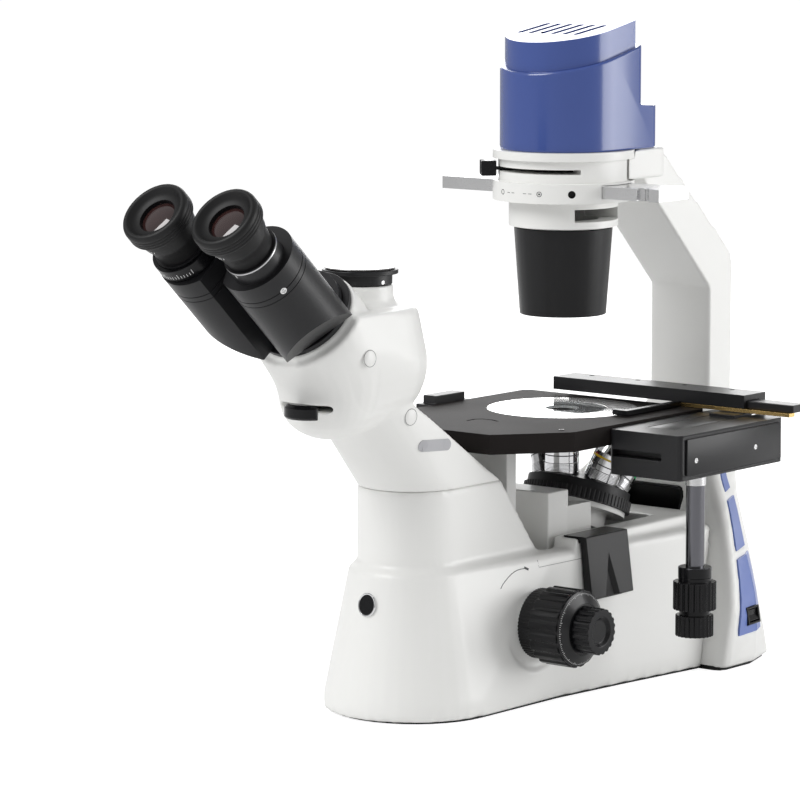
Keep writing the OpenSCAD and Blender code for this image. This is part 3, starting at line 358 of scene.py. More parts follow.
def node_copy(node: str, dissolve: float = 0.4) -> bmesh.types.BMesh:
    """A merged copy of a CAD node's mesh, in metres, with its flat faces joined."""
    bm = bmesh.new()
    bm.from_mesh(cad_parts[node].data)
    bmesh.ops.remove_doubles(bm, verts=bm.verts, dist=0.00002)
    bmesh.ops.dissolve_limit(bm, angle_limit=math.radians(dissolve), verts=bm.verts, edges=bm.edges)
    return bm


def round_edges(piece: bpy.types.Object, width: float, segments: int, angle: float) -> None:
    """Rounds the edges of a piece that fold by more than an angle in degrees, by a width in mm."""
    bevel = piece.modifiers.new("rounding", "BEVEL")
    bevel.width = width * MM
    bevel.segments = segments
    bevel.limit_method = "ANGLE"
    bevel.angle_limit = math.radians(angle)
    bevel.use_clamp_overlap = True
    piece.modifiers.new("flat_faces", "WEIGHTED_NORMAL").keep_sharp = True


def soften(node: str, finish: Finish, body: str, width: float = 0.4, segments: int = 2,
           angle: float = 32, lift: float = 0.0) -> bpy.types.Object:
    """Replaces a CAD node by a copy with rounded edges.

    Args:
        node: the CAD node.
        finish: the finish of the copy.
        body: the body that the node is on.
        width: size of the rounding in mm.
        segments: steps of the rounding.
        angle: least fold of an edge that is rounded, in degrees.
        lift: height in mm that the copy stands above the node.

    Returns:
        The new object.
    """
    shape = node_copy(node)
    bmesh.ops.translate(shape, vec=(0, 0, lift * MM), verts=shape.verts)
    piece = as_piece(shape, node + "_finished", finish, body, scale=1, sharp=60)
    round_edges(piece, width, segments, angle)
    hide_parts(node)
    return piece


def cut_grooves(bm: bmesh.types.BMesh, where: Matrix, centre: Point, heights: tuple[float, ...],
                inner: float, depth: float = 0.45, width: float = 0.7) -> None:
    """Turns narrow grooves round an axis into a shape in metres.

    Args:
        bm: the shape.
        where: frame of the part in mm, grooves lie across its Z.
        centre: X and Y of the axis in that frame, in mm.
        heights: the grooves' heights in mm.
        inner: radius in mm below which nothing moves.
        depth: depth of a groove in mm.
        width: width of a groove in mm.
    """
    normal = (where.to_3x3() @ Vector((0, 0, 1))).normalized()
    back = where.inverted()
    for height in heights:
        for offset in (-width / 2, -width / 2 + 0.12, width / 2 - 0.12, width / 2):
            point = (where @ Vector((0, 0, height + offset))) * MM
            bmesh.ops.bisect_plane(bm, geom=bm.verts[:] + bm.edges[:] + bm.faces[:], dist=1e-7,
                                   plane_co=point, plane_no=normal)
        for vert in bm.verts:
            local = back @ (vert.co / MM)
            out = Vector((local.x - centre[0], local.y - centre[1], 0))
            if abs(local.z - height) < width / 2 - 0.06 and out.length > inner:
                vert.co = (where @ (local - out.normalized() * depth)) * MM


def cast_shell(node: str, finish: Finish, body: str, voxel: float, rounds: int) -> bpy.types.Object:
    """Replaces a CAD node by a cast form with soft, evenly rounded edges.

    Args:
        node: the CAD node.
        finish: the finish of the casting.
        body: the body that the node is on.
        voxel: size of the remeshing cells in mm.
        rounds: how often the surface is relaxed.

    Returns:
        The new object.
    """
    rough = as_piece(node_copy(node, 0.05), node + "_casting", finish, body, scale=1)
    even_cells(rough, voxel, rounds)
    if not rough.data.materials:
        rough.data.materials.append(finish.material())
    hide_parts(node)
    return rough


def even_cells(piece: bpy.types.Object, voxel: float, rounds: int) -> bpy.types.Object:
    """Remeshes a piece into even cells of voxel mm and relaxes it a number of rounds."""
    remesh = piece.modifiers.new("even_cells", "REMESH")
    remesh.mode = "VOXEL"
    remesh.voxel_size = voxel * MM
    relax = piece.modifiers.new("relaxed", "SMOOTH")
    relax.factor = 0.5
    relax.iterations = rounds
    seen = piece.evaluated_get(bpy.context.evaluated_depsgraph_get())
    mesh = bpy.data.meshes.new_from_object(seen)
    piece.modifiers.clear()
    piece.data = mesh
    for polygon in mesh.polygons:
        polygon.use_smooth = True
    LOG.info("%s: %d cells", piece.name, len(mesh.polygons))
    return piece


def spun(profile: Profile, steps: int = 96) -> bmesh.types.BMesh:
    """A turned form about +Z.

    Args:
        profile: pairs of radius and height; a radius of 0 closes the form.
        steps: steps round the axis.

    Returns:
        The bmesh in mm.
    """
    bm = bmesh.new()
    verts = [bm.verts.new((radius, 0, height)) for radius, height in profile]
    edges = [bm.edges.new(pair) for pair in zip(verts, verts[1:])]
    bmesh.ops.spin(bm, geom=verts + edges, cent=(0, 0, 0), axis=(0, 0, 1), angle=TURN, steps=steps,
                   use_merge=True)
    bmesh.ops.remove_doubles(bm, verts=bm.verts, dist=0.0005)
    bmesh.ops.recalc_face_normals(bm, faces=bm.faces)
    return bm


def block(size: Triple, at: Triple = (0, 0, 0), rounding: float = 0.2) -> bmesh.types.BMesh:
    """A box with rounded edges, centred at a point, in mm."""
    bm = bmesh.new()
    bmesh.ops.create_cube(bm, size=1.0)
    bmesh.ops.scale(bm, vec=size, verts=bm.verts)
    if rounding:
        bmesh.ops.bevel(bm, geom=bm.edges[:], offset=rounding, segments=2, profile=0.5, affect="EDGES",
                        material=-1)
    bmesh.ops.translate(bm, vec=at, verts=bm.verts)
    return bm


def placed(bm: bmesh.types.BMesh, where: Matrix) -> bmesh.types.BMesh:
    """The same bmesh after a transform."""
    bmesh.ops.transform(bm, matrix=where, verts=bm.verts)
    return bm


def fitted(bm: bmesh.types.BMesh, where: Matrix, name: str, finish: Finish, body: str,
           sharp: float = 38) -> bpy.types.Object:
    """Ends a bmesh in mm as a piece that stands in a frame and rides on a body."""
    return as_piece(placed(bm, where), name, finish, body, sharp=sharp)


def joined(parts: list[bmesh.types.BMesh]) -> bmesh.types.BMesh:
    """Puts several bmeshes into the first one."""
    first = parts[0]
    for part in parts[1:]:
        spare = bpy.data.meshes.new("spare")
        part.to_mesh(spare)
        part.free()
        first.from_mesh(spare)
        bpy.data.meshes.remove(spare)
    return first


def axes(at: Triple, z_axis: Triple, x_hint: Triple = (1, 0, 0)) -> Matrix:
    """A frame at a point with a given Z axis and roughly a given X axis, in mm."""
    z = Vector(z_axis).normalized()
    y = z.cross(Vector(x_hint)).normalized()
    x = y.cross(z)
    turn = Matrix((x, y, z)).transposed().to_4x4()
    return Matrix.Translation(Vector(at)) @ turn


def rounded_profile(radius: float, low: float, high: float, edge: float = 0.5) -> Profile:
    """Profile of a closed disc with small chamfers."""
    return [(0, low), (radius - edge, low), (radius, low + edge), (radius, high - edge),
            (radius - edge, high), (0, high)]


def ring_profile(inner: float, outer: float, low: float, high: float) -> Profile:
    """Closed profile of a plain ring."""
    return [(inner, low), (outer, low), (outer, high), (inner, high), (inner, low)]


# Camera


@dataclass(frozen=True)
class View:
    """The photograph's camera, in metres."""

    place: Triple = (1.818, -2.432, 0.612)
    heading: float = 39.0
    tilt: float = 7.76
    lens: float = 190.2
    reach: float = 200.0
    # A level camera that comes close to it, for rays: row of the horizon and focal length in pixels
    horizon: float = -171.0
    focal: float = 4188.0

    def build(self) -> None:
        """Makes the camera the scene's own."""
        data = bpy.data.cameras.new("photo_camera")
        data.lens = self.lens
        data.clip_end = self.reach
        camera = bpy.data.objects.new("photo_camera", data)
        camera.location = self.place
        camera.rotation_euler = (math.radians(90 - self.tilt), 0, math.radians(self.heading))
        bpy.context.scene.collection.objects.link(camera)
        bpy.context.scene.camera = camera

    def ray(self, px: float, py: float) -> Vector:
        """Direction from the camera through a point of the 800 by 800 image."""
        turn = math.radians(self.heading)
        right = Vector((math.cos(turn), math.sin(turn), 0))
        ahead = Vector((-math.sin(turn), math.cos(turn), 0))
        up = Vector((0, 0, 1))
        return (ahead + right * ((px - IMAGE_SIZE / 2) / self.focal)
                - up * ((py - self.horizon) / self.focal)).normalized()


VIEW = View()


def surface_of(node: str) -> BVHTree:
    """Search tree over the faces of a CAD node."""
    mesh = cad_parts[node].data
    return BVHTree.FromPolygons([v.co for v in mesh.vertices], [tuple(p.vertices) for p in mesh.polygons])


def seat(node: str, px: float, py: float, x_hint: Triple = (0, 1, 0)) -> Matrix:
    """A frame on the surface of a CAD node where a point of the image meets it.

    Args:
        node: the CAD node that carries the piece.
        px: column of the image point.
        py: row of the image point.
        x_hint: rough direction of the frame's X axis.

    Returns:
        The frame in mm, with Z out of the surface.
    """
    start = Vector(VIEW.place)
    point, normal, _, _ = surface_of(node).ray_cast(start, VIEW.ray(px, py))
    if point is None:
        raise ValueError(f"nothing of {node} at {px}, {py}")
    return axes(tuple(point / MM), tuple(normal), x_hint)


def screw(name: str, where: Matrix, radius: float, body: str, finish: Finish = STEEL,
          height: float = 0.6) -> None:
    """A screw head with a round recess, standing on a surface frame."""
    head = spun([(0, -0.4), (radius, -0.4), (radius, height - 0.25), (radius - 0.25, height),
                 (radius * 0.5, height), (radius * 0.46, height - 0.15), (radius * 0.46, height * 0.1),
                 (0, height * 0.1)], 24)
    as_piece(placed(head, where), name, finish, body)


def ribbon(name: str, node: str, path: Path, width: float, finish: Finish, body: str,
           lift: float = 0.07) -> None:
    """A thin printed line, or a seam or slot whose shade is painted as a dark line, that lies on a CAD node
    along points of the image.

    Args:
        name: the piece's name.
        node: the CAD node that carries it.
        path: image points from end to end.
        width: width of the line in mm.
        finish: its finish.
        body: the body that it rides on.
        lift: height of the line over the node in mm.
    """
    frames = [seat(node, px, py) for px, py in path]
    points = [(f @ Vector((0, 0, lift))) for f in frames]
    bm = bmesh.new()
    verts = [bm.verts.new(point) for point in points]
    edges = [bm.edges.new(pair) for pair in zip(verts, verts[1:])]
    grown = bmesh.ops.extrude_edge_only(bm, edges=edges)["geom"]
    for vert in (item for item in grown if isinstance(item, bmesh.types.BMVert)):
        index = min(range(len(points)), key=lambda i: (points[i] - vert.co).length)
        along = points[min(index + 1, len(points) - 1)] - points[max(index - 1, 0)]
        across = along.cross(frames[index].to_3x3() @ Vector((0, 0, 1))).normalized()
        vert.co += across * width
    bmesh.ops.recalc_face_normals(bm, faces=bm.faces)
    bmesh.ops.solidify(bm, geom=bm.faces[:], thickness=0.1)
    as_piece(bm, name, finish, body)


def ticks(count: int, radius: float, low: float, high: float, width: float, lean: float = 0.0,
          first: float = 0.0, last: float = 360.0, every: int = 0) -> bmesh.types.BMesh:
    """Small bars round +Z, such as the marks of a dial.

    Args:
        count: number of bars.
        radius: radius of the bars' middle.
        low: height of their lower ends.
        high: height of their upper ends.
        width: width of a bar.
        lean: slope of the surface they lie on, in degrees from the axis.
        first: angle of the first bar.
        last: angle past the last bar.
        every: each so many bars one is longer; 0 for none.

    Returns:
        All bars in one bmesh, in mm.
    """
    bars = []
    for index in range(count):
        long = every and index % every == 0
        tall = (high - low) * (1.0 if long or not every else 0.55)
        bar = block((0.14, width, tall), (0, 0, tall / 2 - (high - low) / 2), 0)
        turn = Matrix.Rotation(math.radians(first + (last - first) * index / count), 4, "Z")
        bars.append(placed(bar, turn @ Matrix.Translation((radius, 0, (low + high) / 2))
                           @ Matrix.Rotation(math.radians(-lean), 4, "Y")))
    return joined(bars)


# Sub-assemblies


HINGE_AT = (0, -389.8, 379.59)
HINGE_AXIS = (0, -0.73728, 0.67559)
PORT_Y = -230.0


class Side(Enum):
    """Side of the microscope, by the sign of X."""

    RIGHT = 1
    LEFT = -1

    @property
    def word(self) -> str:
        """The side's name as the frame's nodes and bodies write it."""
        return self.name.lower()


@dataclass
class Stand:
    """Castings of the stand with trim, switch and the parts below the rim."""

    base_voxel: float = 2.0
    column_voxel: float = 1.8
    relax_rounds: int = 4
    # The rim is set back, and the castings reach down over it
    rim_inset: float = 0.982
    skirt_from: float = 14.0
    skirt_full: float = 4.0
    skirt_drop: float = 2.2
    # Closed backs of the covers beside the nosepiece
    cover_back: Triple = (2.0, 30, 40)
    cover_back_at: Triple = (63.4, -32, 86)
    cover_back_lean: float = 8.0
    # Blank plate on the left trim, where the right one has the switch
    blank_size: Triple = (20.5, 14.5, 2.4)
    blank_rise: float = 0.5
    blank_at: Triple = (-95.51, 106.61, 36.0)
    blank_normal: Triple = (-0.981, 0.12, 0.156)
    blank_along: Triple = (0.12, 0.99, 0)
    # Places in the image
    badge_radius: float = 8.2
    badge_point: Point = (367, 608)
    arrow_path: Path = ((501.1, 591.2), (503, 587.2), (505.4, 583.6), (508.6, 579.5), (512.1, 575.9),
                        (515, 573.7), (517.8, 572.1), (521, 571), (525.5, 570.3))
    arrow_head_path: Path = ((525, 568.6), (529.3, 570.6))
    arrow_width: float = 0.55
    arrow_head_width: float = 1.6
    seam_path: Path = ((537, 556), (538.4, 562.5), (539.9, 569.2))
    seam_low_path: Path = ((539.9, 569.2), (550, 567), (561, 564.7), (572, 562.3), (582.5, 560))
    seam_width: float = 0.4

    def build(self) -> None:
        """Builds castings, trim and small parts."""
        self.lower_skirt(cast_shell("base_casting", COAT, "stand", self.base_voxel, self.relax_rounds))
        self.lower_skirt(cast_shell("column", COAT, "stand", self.column_voxel, self.relax_rounds))
        soften("bottom_plate", SATIN, "stand", 0.5)
        self.build_rim()
        soften("trim_panels", TRIM, "stand", 0.5)
        soften("column_liner", MOULDED, "stand", 0.6)
        soften("side_covers", MOULDED, "stand", 0.6)
        self.build_cover_backs()
        soften("switch_bezel", KNOB, "stand", 0.6)
        soften("power_rocker", KNOB, "rocker", 0.5)
        blank = block(self.blank_size, (0, 0, self.blank_rise), 0.4)
        where = axes(self.blank_at, self.blank_normal, self.blank_along)
        fitted(blank, where, "switch_blank", MOULDED, "stand")
        soften("power_inlet", MOULDED, "stand", 0.5)
        soften("dimmer_knob", KNOB, "dimmer", 0.4)
        soften("fold_mirrors", MIRROR, "stand", 0.1)
        soften("tube_lens", GLASS, "stand", 0.1)
        soften("stage_supports", COAT, "stand", 0.8)
        self.build_badge()
        self.build_lines()

    def build_cover_backs(self) -> None:
        """Plates that close the covers beside the nosepiece."""
        x, y, z = self.cover_back_at
        for side in Side:
            lean = Matrix.Rotation(math.radians(-self.cover_back_lean * side.value), 4, "Y")
            fitted(block(self.cover_back, rounding=0.3), Matrix.Translation((side.value * x, y, z)) @ lean,
                   f"cover_back_{side.word}", MOULDED, "stand")

    def build_rim(self) -> None:
        """The rubber rim, set back a little under the castings, which reach down over it."""
        rim = node_copy("rubber_rim")
        bmesh.ops.scale(rim, vec=(self.rim_inset, self.rim_inset, 1), verts=rim.verts)
        piece = as_piece(rim, "rubber_rim_finished", RUBBER, "stand", scale=1)
        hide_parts("rubber_rim")

    def lower_skirt(self, casting: bpy.types.Object) -> None:
        """Draws the lower edge of a casting down over the rim.

        Args:
            casting: the finished casting.
        """
        reach = (self.skirt_from - self.skirt_full) * MM
        for vert in casting.data.vertices:
            share = min(1.0, max(0.0, (self.skirt_from * MM - vert.co.z) / reach))
            vert.co.z -= share * self.skirt_drop * MM

    def build_badge(self) -> None:
        """The bare round badge on the front of the base."""
        where = seat("base_casting", *self.badge_point)
        r = self.badge_radius
        rim = [(r - 1.0, -1.0), (r, -1.0), (r + 0.1, 0.5), (r - 0.4, 0.9), (r - 1.1, 0.7), (r - 1.1, -1.0)]
        fitted(spun(rim, 72), where, "badge_rim", CHROME, "stand")
        fitted(spun(rounded_profile(r - 1.0, -1.0, 0.45, 0.1), 72), where, "badge_face", KNOB, "stand")

    def build_lines(self) -> None:
        """The arrow of the tension ring and the seam of the service cover on the base."""
        for name, path, width, finish in (
                ("tension_arrow", self.arrow_path, self.arrow_width, BLACK_INK_AND_SHADE),
                ("tension_arrow_head", self.arrow_head_path, self.arrow_head_width, BLACK_INK_AND_SHADE),
                ("cover_seam", self.seam_path, self.seam_width, SEAM),
                ("cover_seam_low", self.seam_low_path, self.seam_width, SEAM)):
            ribbon(name, "base_casting", path, width, finish, "stand")


@dataclass
class Head:
    """Binocular head with photo port and beam lever."""

    voxel: float = 1.4
    relax_rounds: int = 6
    # The low shoulder, and the round forms that stand over it
    shoulder_height: float = 288.0
    shoulder_cut: Triple = (140, 200, 60)
    port_lift: float = 5.0
    tower_bore: float = 20.3
    tower_foot: float = 262.0
    tower_top: float = 298.0
    tower_outline: Profile = field(default_factory=lambda: [
        (30, 262), (29, 284), (26.2, 288.5), (23.6, 291.5), (22.6, 295)])
    tower_neck: float = 22.4
    boss_profile: Profile = field(default_factory=lambda: [
        (18.2, -160), (36.5, -160), (36.2, -142), (35.4, -139.6), (18.2, -139.6), (18.2, -160)])
    # The bulge below the tubes
    bulge_height: float = 232.0
    bulge_reach: float = 34.0
    bulge_front: float = -225.0
    bulge_blend: float = 40.0
    slot_half: float = 22.0
    slot_blend: float = 16.0
    draw_side: float = 0.13
    draw_back: float = 0.15
    # The beam lever
    lever_pivot: float = -238.0
    lever_height: float = 224.0
    arm_size: Triple = (5, 68, 2.8)
    hub_radius: float = 8.0
    hub_half: float = 2.0
    paddle_profile: Profile = field(default_factory=lambda: [
        (0, -5), (15.6, -5), (17, -3.6), (17, 2.4), (14.4, 5), (0, 5)])
    paddle_half: float = 14.0
    paddle_out: float = 58.6
    paddle_back: float = 66.5
    paddle_side: float = 11.0
    # Places in the image
    plug_radius: float = 5.4
    plug_points: Path = ((370, 358), (411, 417))
    set_screw_point: Point = (383, 289)
    label_path: Path = ((423, 440.4), (429, 440), (435, 439.6), (441, 439.2), (447, 438.8))
    label_width: float = 8.0
    label_rise: float = 0.35
    label_ends: Path = ((423, 446.2), (447, 444.6))

    def build(self) -> None:
        """Builds the head, its plugs and the port."""
        self.cast_head()
        self.build_lever()
        soften("port_ring", SATIN, "stand", 0.4, lift=self.port_lift)
        soften("port_cap", CAP_GRAY, "cap", 0.6, lift=self.port_lift)
        soften("hinge_disc", SATIN, "stand", 0.4)
        lifted = Matrix.Translation((0, 0, self.port_lift)) @ seat("port_ring", *self.set_screw_point)
        screw("port_set_screw", lifted, 1.5, "stand", STEEL, 0.3)
        self.build_label()
        self.build_plugs()

    def cast_head(self) -> None:
        """Casts the head with a low shoulder, so that the port's tower and the round boss stand free."""
        trimmed = as_piece(node_copy("head_housing", 0.05), "head_casting", COAT, "stand", scale=1)
        mesh = self.cut_shoulder(trimmed)
        shell = bmesh.new()
        shell.from_mesh(mesh)
        top = self.tower_top + self.port_lift
        bore = self.tower_bore
        tower = spun([(bore, self.tower_foot)] + self.tower_outline
                     + [(self.tower_neck, top), (bore, top), (bore, self.tower_foot)])
        placed(tower, Matrix.Translation((0, PORT_Y, 0)))
        boss = placed(spun(self.boss_profile), axes(HINGE_AT, HINGE_AXIS))
        for extra in (tower, boss):
            bmesh.ops.scale(extra, vec=(MM, MM, MM), verts=extra.verts)
        joined([shell, tower, boss]).to_mesh(mesh)
        shell.free()
        trimmed.data = mesh
        self.draw_in(even_cells(trimmed, self.voxel, self.relax_rounds))
        if not trimmed.data.materials:
            trimmed.data.materials.append(COAT.material())
        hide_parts("head_housing")

    def cut_shoulder(self, trimmed: bpy.types.Object) -> bpy.types.Mesh:
        """Cuts the head off at the height of its shoulder.

        Args:
            trimmed: the head before the cut.

        Returns:
            The cut mesh, on its own.
        """
        cutter = bpy.data.objects.new("shoulder_cutter", bpy.data.meshes.new("shoulder_cutter"))
        bpy.context.scene.collection.objects.link(cutter)
        shape = block(self.shoulder_cut, (0, PORT_Y, self.shoulder_height + self.shoulder_cut[2] / 2), 0)
        bmesh.ops.scale(shape, vec=(MM, MM, MM), verts=shape.verts)
        shape.to_mesh(cutter.data)
        shape.free()
        cut = trimmed.modifiers.new("shoulder", "BOOLEAN")
        cut.object = cutter
        cut.operation = "DIFFERENCE"
        cut.solver = "EXACT"
        seen = trimmed.evaluated_get(bpy.context.evaluated_depsgraph_get())
        mesh = bpy.data.meshes.new_from_object(seen)
        trimmed.modifiers.clear()
        bpy.data.objects.remove(cutter)
        return mesh

    def draw_in(self, head: bpy.types.Object) -> None:
        """Draws the bulge below the tubes in towards the riser's axis, and leaves the lever's slot its width.

        Args:
            head: the cast head.
        """
        for vert in head.data.vertices:
            share = max(0.0, 1 - abs(vert.co.z / MM - self.bulge_height) / self.bulge_reach)
            share = share * share * (3 - 2 * share)
            front = min(1.0, max(0.0, (self.bulge_front - vert.co.y / MM) / self.bulge_blend))
            side = min(1.0, max(0.0, (abs(vert.co.x) / MM - self.slot_half) / self.slot_blend))
            vert.co.x *= 1 - self.draw_side * share * front * side
            vert.co.y += (PORT_Y * MM - vert.co.y) * self.draw_back * share * front

    def build_plugs(self) -> None:
        """Round cover plugs in the side of the head, each in a narrow gap."""
        r = self.plug_radius
        for number, point in enumerate(self.plug_points):
            where = seat("head_housing", *point)
            fitted(spun([(0, -1.5), (r, -1.5), (r, 0.15), (r - 0.5, 0.5), (0, 0.62)], 64), where,
                   f"head_plug_{number}", COAT, "stand")
            fitted(spun(ring_profile(r + 0.02, r + 0.45, 0.02, 0.12), 64), where, f"head_plug_gap_{number}",
                   SEAM, "stand")

    def build_lever(self) -> None:
        """Beam lever: flat arm with a paddle whose front is rounded for the thumb."""
        arm = block(self.arm_size, (0, self.lever_pivot - self.arm_size[1] / 2, self.lever_height), 0.3)
        hub = placed(spun(rounded_profile(self.hub_radius, -self.hub_half, self.hub_half), 48),
                     Matrix.Translation((0, self.lever_pivot, self.lever_height)))
        paddle = placed(spun(self.paddle_profile),
                        Matrix.Translation((0, self.lever_pivot - self.paddle_out, self.lever_height)))
        back = (0, self.lever_pivot - self.paddle_back, 0)
        for plane, normal in ((back, (0, 1, 0)), ((-self.paddle_half, 0, 0), (-1, 0, 0)),
                              ((self.paddle_half, 0, 0), (1, 0, 0))):
            cut = bmesh.ops.bisect_plane(paddle, geom=paddle.verts[:] + paddle.edges[:] + paddle.faces[:],
                                         plane_co=plane, plane_no=normal, clear_outer=True)
            rim = [item for item in cut["geom_cut"] if isinstance(item, bmesh.types.BMEdge)]
            bmesh.ops.contextual_create(paddle, geom=rim)
        bmesh.ops.recalc_face_normals(paddle, faces=paddle.faces)
        bmesh.ops.translate(paddle, vec=(self.paddle_side, 0, 0), verts=paddle.verts)
        piece = as_piece(joined([arm, hub, paddle]), "beam_lever_body", KNOB, "lever")
        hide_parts("beam_lever")

    def build_label(self) -> None:
        """The bare gray label on the neck below the head."""
        ribbon("neck_label", "head_housing", self.label_path, self.label_width, LABEL, "stand",
               self.label_rise)
        for number, point in enumerate(self.label_ends):
            fitted(spun(rounded_profile(self.label_width / 2, -0.4, 0.4, 0.02), 48),
                   seat("head_housing", *point), f"neck_label_end_{number}", LABEL, "stand")


@dataclass
class Tubes:
    """Barrels and eyepieces of the folding binocular tube."""

    half_width: float = 30.0
    drop: float = -22.5
    barrel_centre: Point = (26.4, -19.8)
    groove_heights: tuple[float, float] = (-61.5, -66.0)
    groove_inside: float = 14.8
    barrel_rounding: float = 0.25
    shell_low: Profile = field(default_factory=lambda: [(11.5, -61), (11.5, -36.2)])
    cup_profile: Profile = field(default_factory=lambda: [
        (16.9, -36), (16.9, -31), (17.6, -30), (18.0, -25.6), (18.5, -25.2), (18.9, -22), (19.6, -21.6),
        (20.0, -17.5), (20.7, -17.2), (21.0, -12.6), (22.6, -12.2), (23.7, -11.4), (24.0, -10.2),
        (23.6, -9.6), (24.0, -9.0), (24.0, -7.9), (23.6, -7.3), (24.0, -6.7), (24.0, -5.6), (23.6, -5.0),
        (24.0, -4.4), (24.0, -3.2), (23.7, -2.0), (23.0, -0.8), (21.6, -0.05), (20.6, -0.15), (19.6, -0.9),
        (18.2, -3.4), (15.4, -5.0), (13.2, -5.4), (12.9, -6.2), (12.9, -9.0)])
    shell_inside: Profile = field(default_factory=lambda: [(11.0, -9.4), (9.0, -9.9)])
    lens_profile: Profile = field(default_factory=lambda: [
        (12.95, -8.3), (11.5, -7.6), (9.5, -7.0), (7.0, -6.55), (4.0, -6.25), (0, -6.15)])
    lens_rim: Profile = field(default_factory=lambda: [
        (12.9, -8.6), (13.3, -5.35), (13.0, -5.3), (12.6, -8.3)])
    neck_band: Profile = field(default_factory=lambda: [
        (18.9, -37.9), (19.15, -37.7), (19.15, -36.9), (18.9, -36.7)])
    # Printed marks: radius of the wall that carries them, its slope and their angles
    mark_radius: float = 19.8
    mark_lean: float = 7.0
    mark_angles: tuple[float, ...] = (236, 241, 246, 258, 263, 270)
    dash_angle: float = 252.0
    collar_screw_point: Point = (284, 290)

    def tube_axis(self, side: Side) -> Matrix:
        """Frame of one tube: Z out of the eyepiece, origin in the eyecup's plane."""
        return axes(HINGE_AT, HINGE_AXIS) @ Matrix.Translation((side.value * self.half_width, self.drop, 0))

    def build(self) -> None:
        """Builds both sides."""
        for side in Side:
            self.build_barrel(side)
            self.build_eyepiece(side)
        soften("diopter_ring", KNOB, "diopter", 0.3)
        right = self.tube_axis(Side.RIGHT)
        left = self.tube_axis(Side.LEFT)
        fitted(spun(self.neck_band), right, "right_neck_band", TURNED, "right_tube")
        fitted(ticks(21, 22.05, -44.5, -40.5, 0.35, first=200, last=320, every=5), left, "diopter_marks",
               WHITE_MARK, "diopter")
        fitted(ticks(1, 19.12, -41, -38.4, 0.7, first=262), right, "neck_mark", WHITE_MARK, "right_tube")
        where = seat("barrel_right", *self.collar_screw_point)
        fitted(spun(ring_profile(1.5, 2.3, -0.3, 0.12), 32), where, "collar_screw_ring_0", WHITE_MARK,
               "right_tube")
        screw("collar_screw_0", where, 1.45, "right_tube", STEEL, 0.2)

    def build_barrel(self, side: Side) -> None:
        """Barrel with the two grooves below its collar."""
        word = side.word
        shape = node_copy(f"barrel_{word}")
        centre = (side.value * self.barrel_centre[0], self.barrel_centre[1])
        cut_grooves(shape, axes(HINGE_AT, HINGE_AXIS), centre, self.groove_heights, self.groove_inside)
        piece = as_piece(shape, f"barrel_{word}_body", SATIN, f"{word}_tube", scale=1, sharp=60)
        round_edges(piece, self.barrel_rounding, 2, 35)
        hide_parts(f"barrel_{word}")

    def build_marks(self, where: Matrix, word: str) -> None:
        """White marks printed round the eyepiece below the eyecup."""
        marks = [ticks(1, self.mark_radius, -20.4, -17.9, 0.45, self.mark_lean, first=angle)
                 for angle in self.mark_angles]
        marks.append(ticks(1, self.mark_radius, -19.4, -18.9, 2.2, self.mark_lean, first=self.dash_angle))
        fitted(joined(marks), where, f"eyepiece_{word}_marks", WHITE_MARK, f"{word}_tube")

    def build_eyepiece(self, side: Side) -> None:
        """Body, eyecup, lens and marks of one eyepiece."""
        word = side.word
        body = f"{word}_tube"
        where = self.tube_axis(side)
        shell = spun(self.shell_low + self.cup_profile + self.shell_inside, 128)
        piece = fitted(shell, where, f"eyepiece_{word}_body", RUBBER, body, sharp=50)
        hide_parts(f"eyepiece_{word}")
        fitted(spun(self.lens_profile), where, f"eyepiece_{word}_lens", LENS, body)
        fitted(spun(self.lens_rim), where, f"eyepiece_{word}_lens_rim", KNOB, body)
        self.build_marks(where, word)


